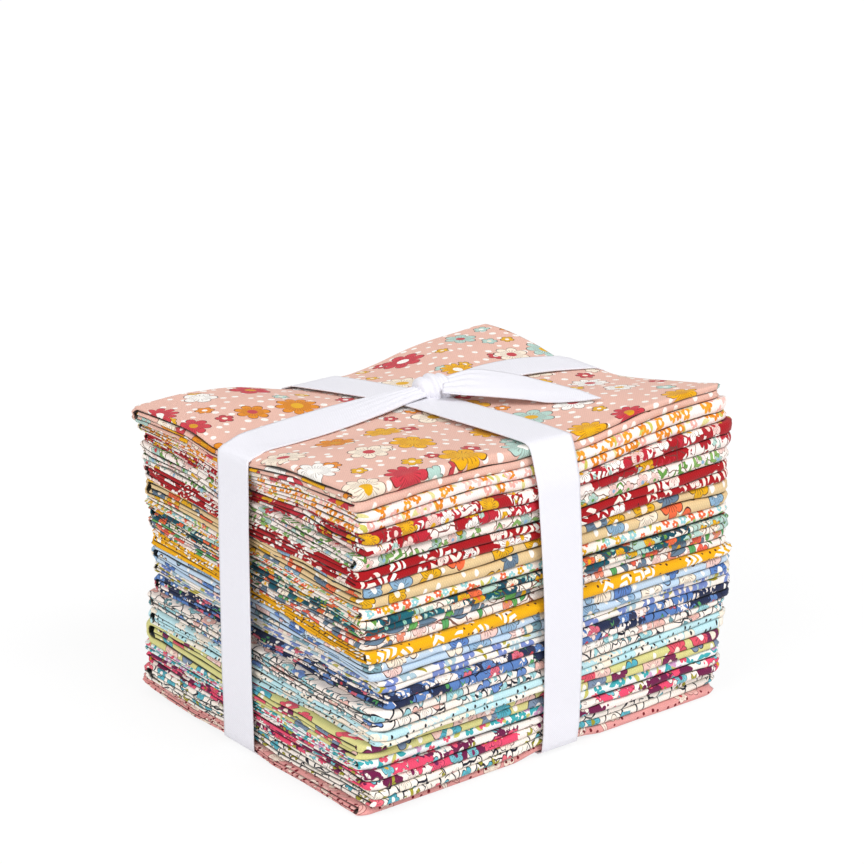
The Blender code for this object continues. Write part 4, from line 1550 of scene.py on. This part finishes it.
def knot_point(share, t, base):
    """A point of the knot: its share along the turn and its place across, -1 to 1."""
    heading = math.radians(KNOT_HEADING)
    along = np.array([math.cos(heading), math.sin(heading), 0.0])
    across = np.array([math.sin(heading), -math.cos(heading), 0.0])
    angle = math.radians(KNOT_START + KNOT_TURN * share)
    half = KNOT_HALF + KNOT_SWELL * math.sin(math.pi * share) + KNOT_GROWTH * (share - 0.5)
    drift = KNOT_DRIFT * (share - 0.5)
    outward = along * math.cos(angle) + np.array([0.0, 0.0, math.sin(angle)])
    shrink = math.sqrt(max(0.0, 1.0 - KNOT_RIM * t * t))
    radius_flat = KNOT_FLAT_RADII[0] + KNOT_FLAT_RADII[1] * shrink
    radius_up = KNOT_UP_RADII[0] + KNOT_UP_RADII[1] * shrink
    crease = sum(depth * math.cos(waves * math.pi * t + run * share + phase)
                 for depth, waves, run, phase in KNOT_CREASES)
    centre = np.array([KNOT[0], KNOT[1], base + KNOT_MIDDLE_HEIGHT])
    centre = centre + across * (half * t + drift)
    centre = centre + along * radius_flat * math.cos(angle)
    centre[2] = max(centre[2] + radius_up * math.sin(angle), base)
    return centre + outward * crease


def knot_strip():
    """The turn of ribbon that closes the knot over the gathered strap."""
    base = float(top_cloth(KNOT[0], KNOT[1])) + RIBBON_LIFT
    return np.array([[knot_point(step / 40, t, base) for t in np.linspace(-1.0, 1.0, 33)]
                     for step in range(41)])


def build_ribbon():
    """The whole ribbon as one thin sheet object."""
    parts = [
        strap_strip(True, STRAP_X_TOP, STRAP_X_FEET, STRAP_X_FOOT_WIDTHS),
        strap_strip(False, STRAP_Y_TOP, STRAP_Y_FEET, STRAP_Y_FOOT_WIDTHS),
        tail_strip(),
        knot_strip(),
    ]
    ribbon = strip_mesh(parts, "ribbon_strip", ribbon_material())
    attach(ribbon, "root")
    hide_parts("ribbon")


# Floor, light and camera

SURROUND = 0.55
FLOOR_HALF = 6.0
FLOOR_DROP = 0.0002
FLOOR_GREY = (0.90, 0.90, 0.90, 1.0)
FLOOR_GLOW = 1.02
FLOOR_GLOW_SHARE = 0.85

# Lights: name, azimuth and elevation in degrees, width in degrees and strength
LIGHTS = (
    ("key", 12.0, 52.0, 26.0, 1.45),
    ("fill", -78.0, 40.0, 32.0, 1.00),
    ("low", -38.0, 10.0, 40.0, 0.45),
)

CAMERA_PLACE = (-0.50675, -0.63662, 0.36207)
CAMERA_AZIMUTH = -38.49
CAMERA_PITCH = 18.67
CAMERA_LENS = 115.45


def build_floor():
    """A plain pale floor."""
    mesh = bpy.data.meshes.new("floor")
    size = FLOOR_HALF
    corners = [(-size, -size, 0.0), (size, -size, 0.0), (size, size, 0.0), (-size, size, 0.0)]
    mesh.from_pydata(corners, [], [(0, 1, 2, 3)])
    floor = bpy.data.objects.new("floor", mesh)
    floor.location.z = -FLOOR_DROP
    bpy.context.collection.objects.link(floor)
    mesh.materials.append(floor_material())


def floor_material():
    """Pale grey that glows a little towards the camera, so the floor stays white."""
    material = bpy.data.materials.new("floor_white")
    material.use_nodes = True
    nodes, links = material.node_tree.nodes, material.node_tree.links
    shader = nodes["Principled BSDF"]
    shader.inputs["Base Color"].default_value = FLOOR_GREY
    shader.inputs["Roughness"].default_value = 0.9
    shader.inputs["Specular IOR Level"].default_value = 0.1
    glow = nodes.new("ShaderNodeEmission")
    glow.inputs["Strength"].default_value = FLOOR_GLOW
    path = nodes.new("ShaderNodeLightPath")
    direct = nodes.new("ShaderNodeMath")
    direct.operation = "MULTIPLY"
    direct.inputs[1].default_value = FLOOR_GLOW_SHARE
    blend = nodes.new("ShaderNodeMixShader")
    links.new(path.outputs["Is Camera Ray"], direct.inputs[0])
    links.new(direct.outputs[0], blend.inputs[0])
    links.new(shader.outputs[0], blend.inputs[1])
    links.new(glow.outputs[0], blend.inputs[2])
    links.new(blend.outputs[0], nodes["Material Output"].inputs["Surface"])
    return material


def aim(thing, azimuth, elevation):
    """Turn a lamp or a camera to a heading, looking down by an elevation."""
    thing.rotation_euler = (math.radians(90.0 - elevation), 0.0, math.radians(azimuth))
    bpy.context.collection.objects.link(thing)


def soft_light(name, azimuth, elevation, width, strength):
    """A very wide soft light from a direction, even over the whole floor."""
    data = bpy.data.lights.new(name, "SUN")
    data.angle = math.radians(width)
    data.energy = strength
    lamp = bpy.data.objects.new(name, data)
    lamp.location = (0.0, 0.0, 1.0)
    aim(lamp, azimuth, elevation)


def build_light():
    """A bright even surround with soft lights from the front, the left and low down."""
    world = bpy.data.worlds.new("studio")
    world.use_nodes = True
    nodes, links = world.node_tree.nodes, world.node_tree.links
    background = nodes["Background"]
    background.inputs["Color"].default_value = (1.0, 1.0, 1.0, 1.0)
    path = nodes.new("ShaderNodeLightPath")
    strength = nodes.new("ShaderNodeMath")
    strength.operation = "MULTIPLY_ADD"
    strength.inputs[1].default_value = 1.0 - SURROUND
    strength.inputs[2].default_value = SURROUND
    links.new(path.outputs["Is Camera Ray"], strength.inputs[0])
    links.new(strength.outputs[0], background.inputs["Strength"])
    bpy.context.scene.world = world
    for light in LIGHTS:
        soft_light(*light)


def build_camera():
    """The camera at the photograph's angle."""
    data = bpy.data.cameras.new("camera")
    data.lens = CAMERA_LENS
    data.sensor_width = 36.0
    data.clip_start = 0.01
    data.clip_end = 50.0
    camera = bpy.data.objects.new("camera", data)
    camera.location = CAMERA_PLACE
    aim(camera, CAMERA_AZIMUTH, CAMERA_PITCH)
    bpy.context.scene.camera = camera


build_camera()
build_fat_quarters()
build_ribbon()
build_floor()
build_light()
bpy.context.scene.view_settings.view_transform = "Standard"
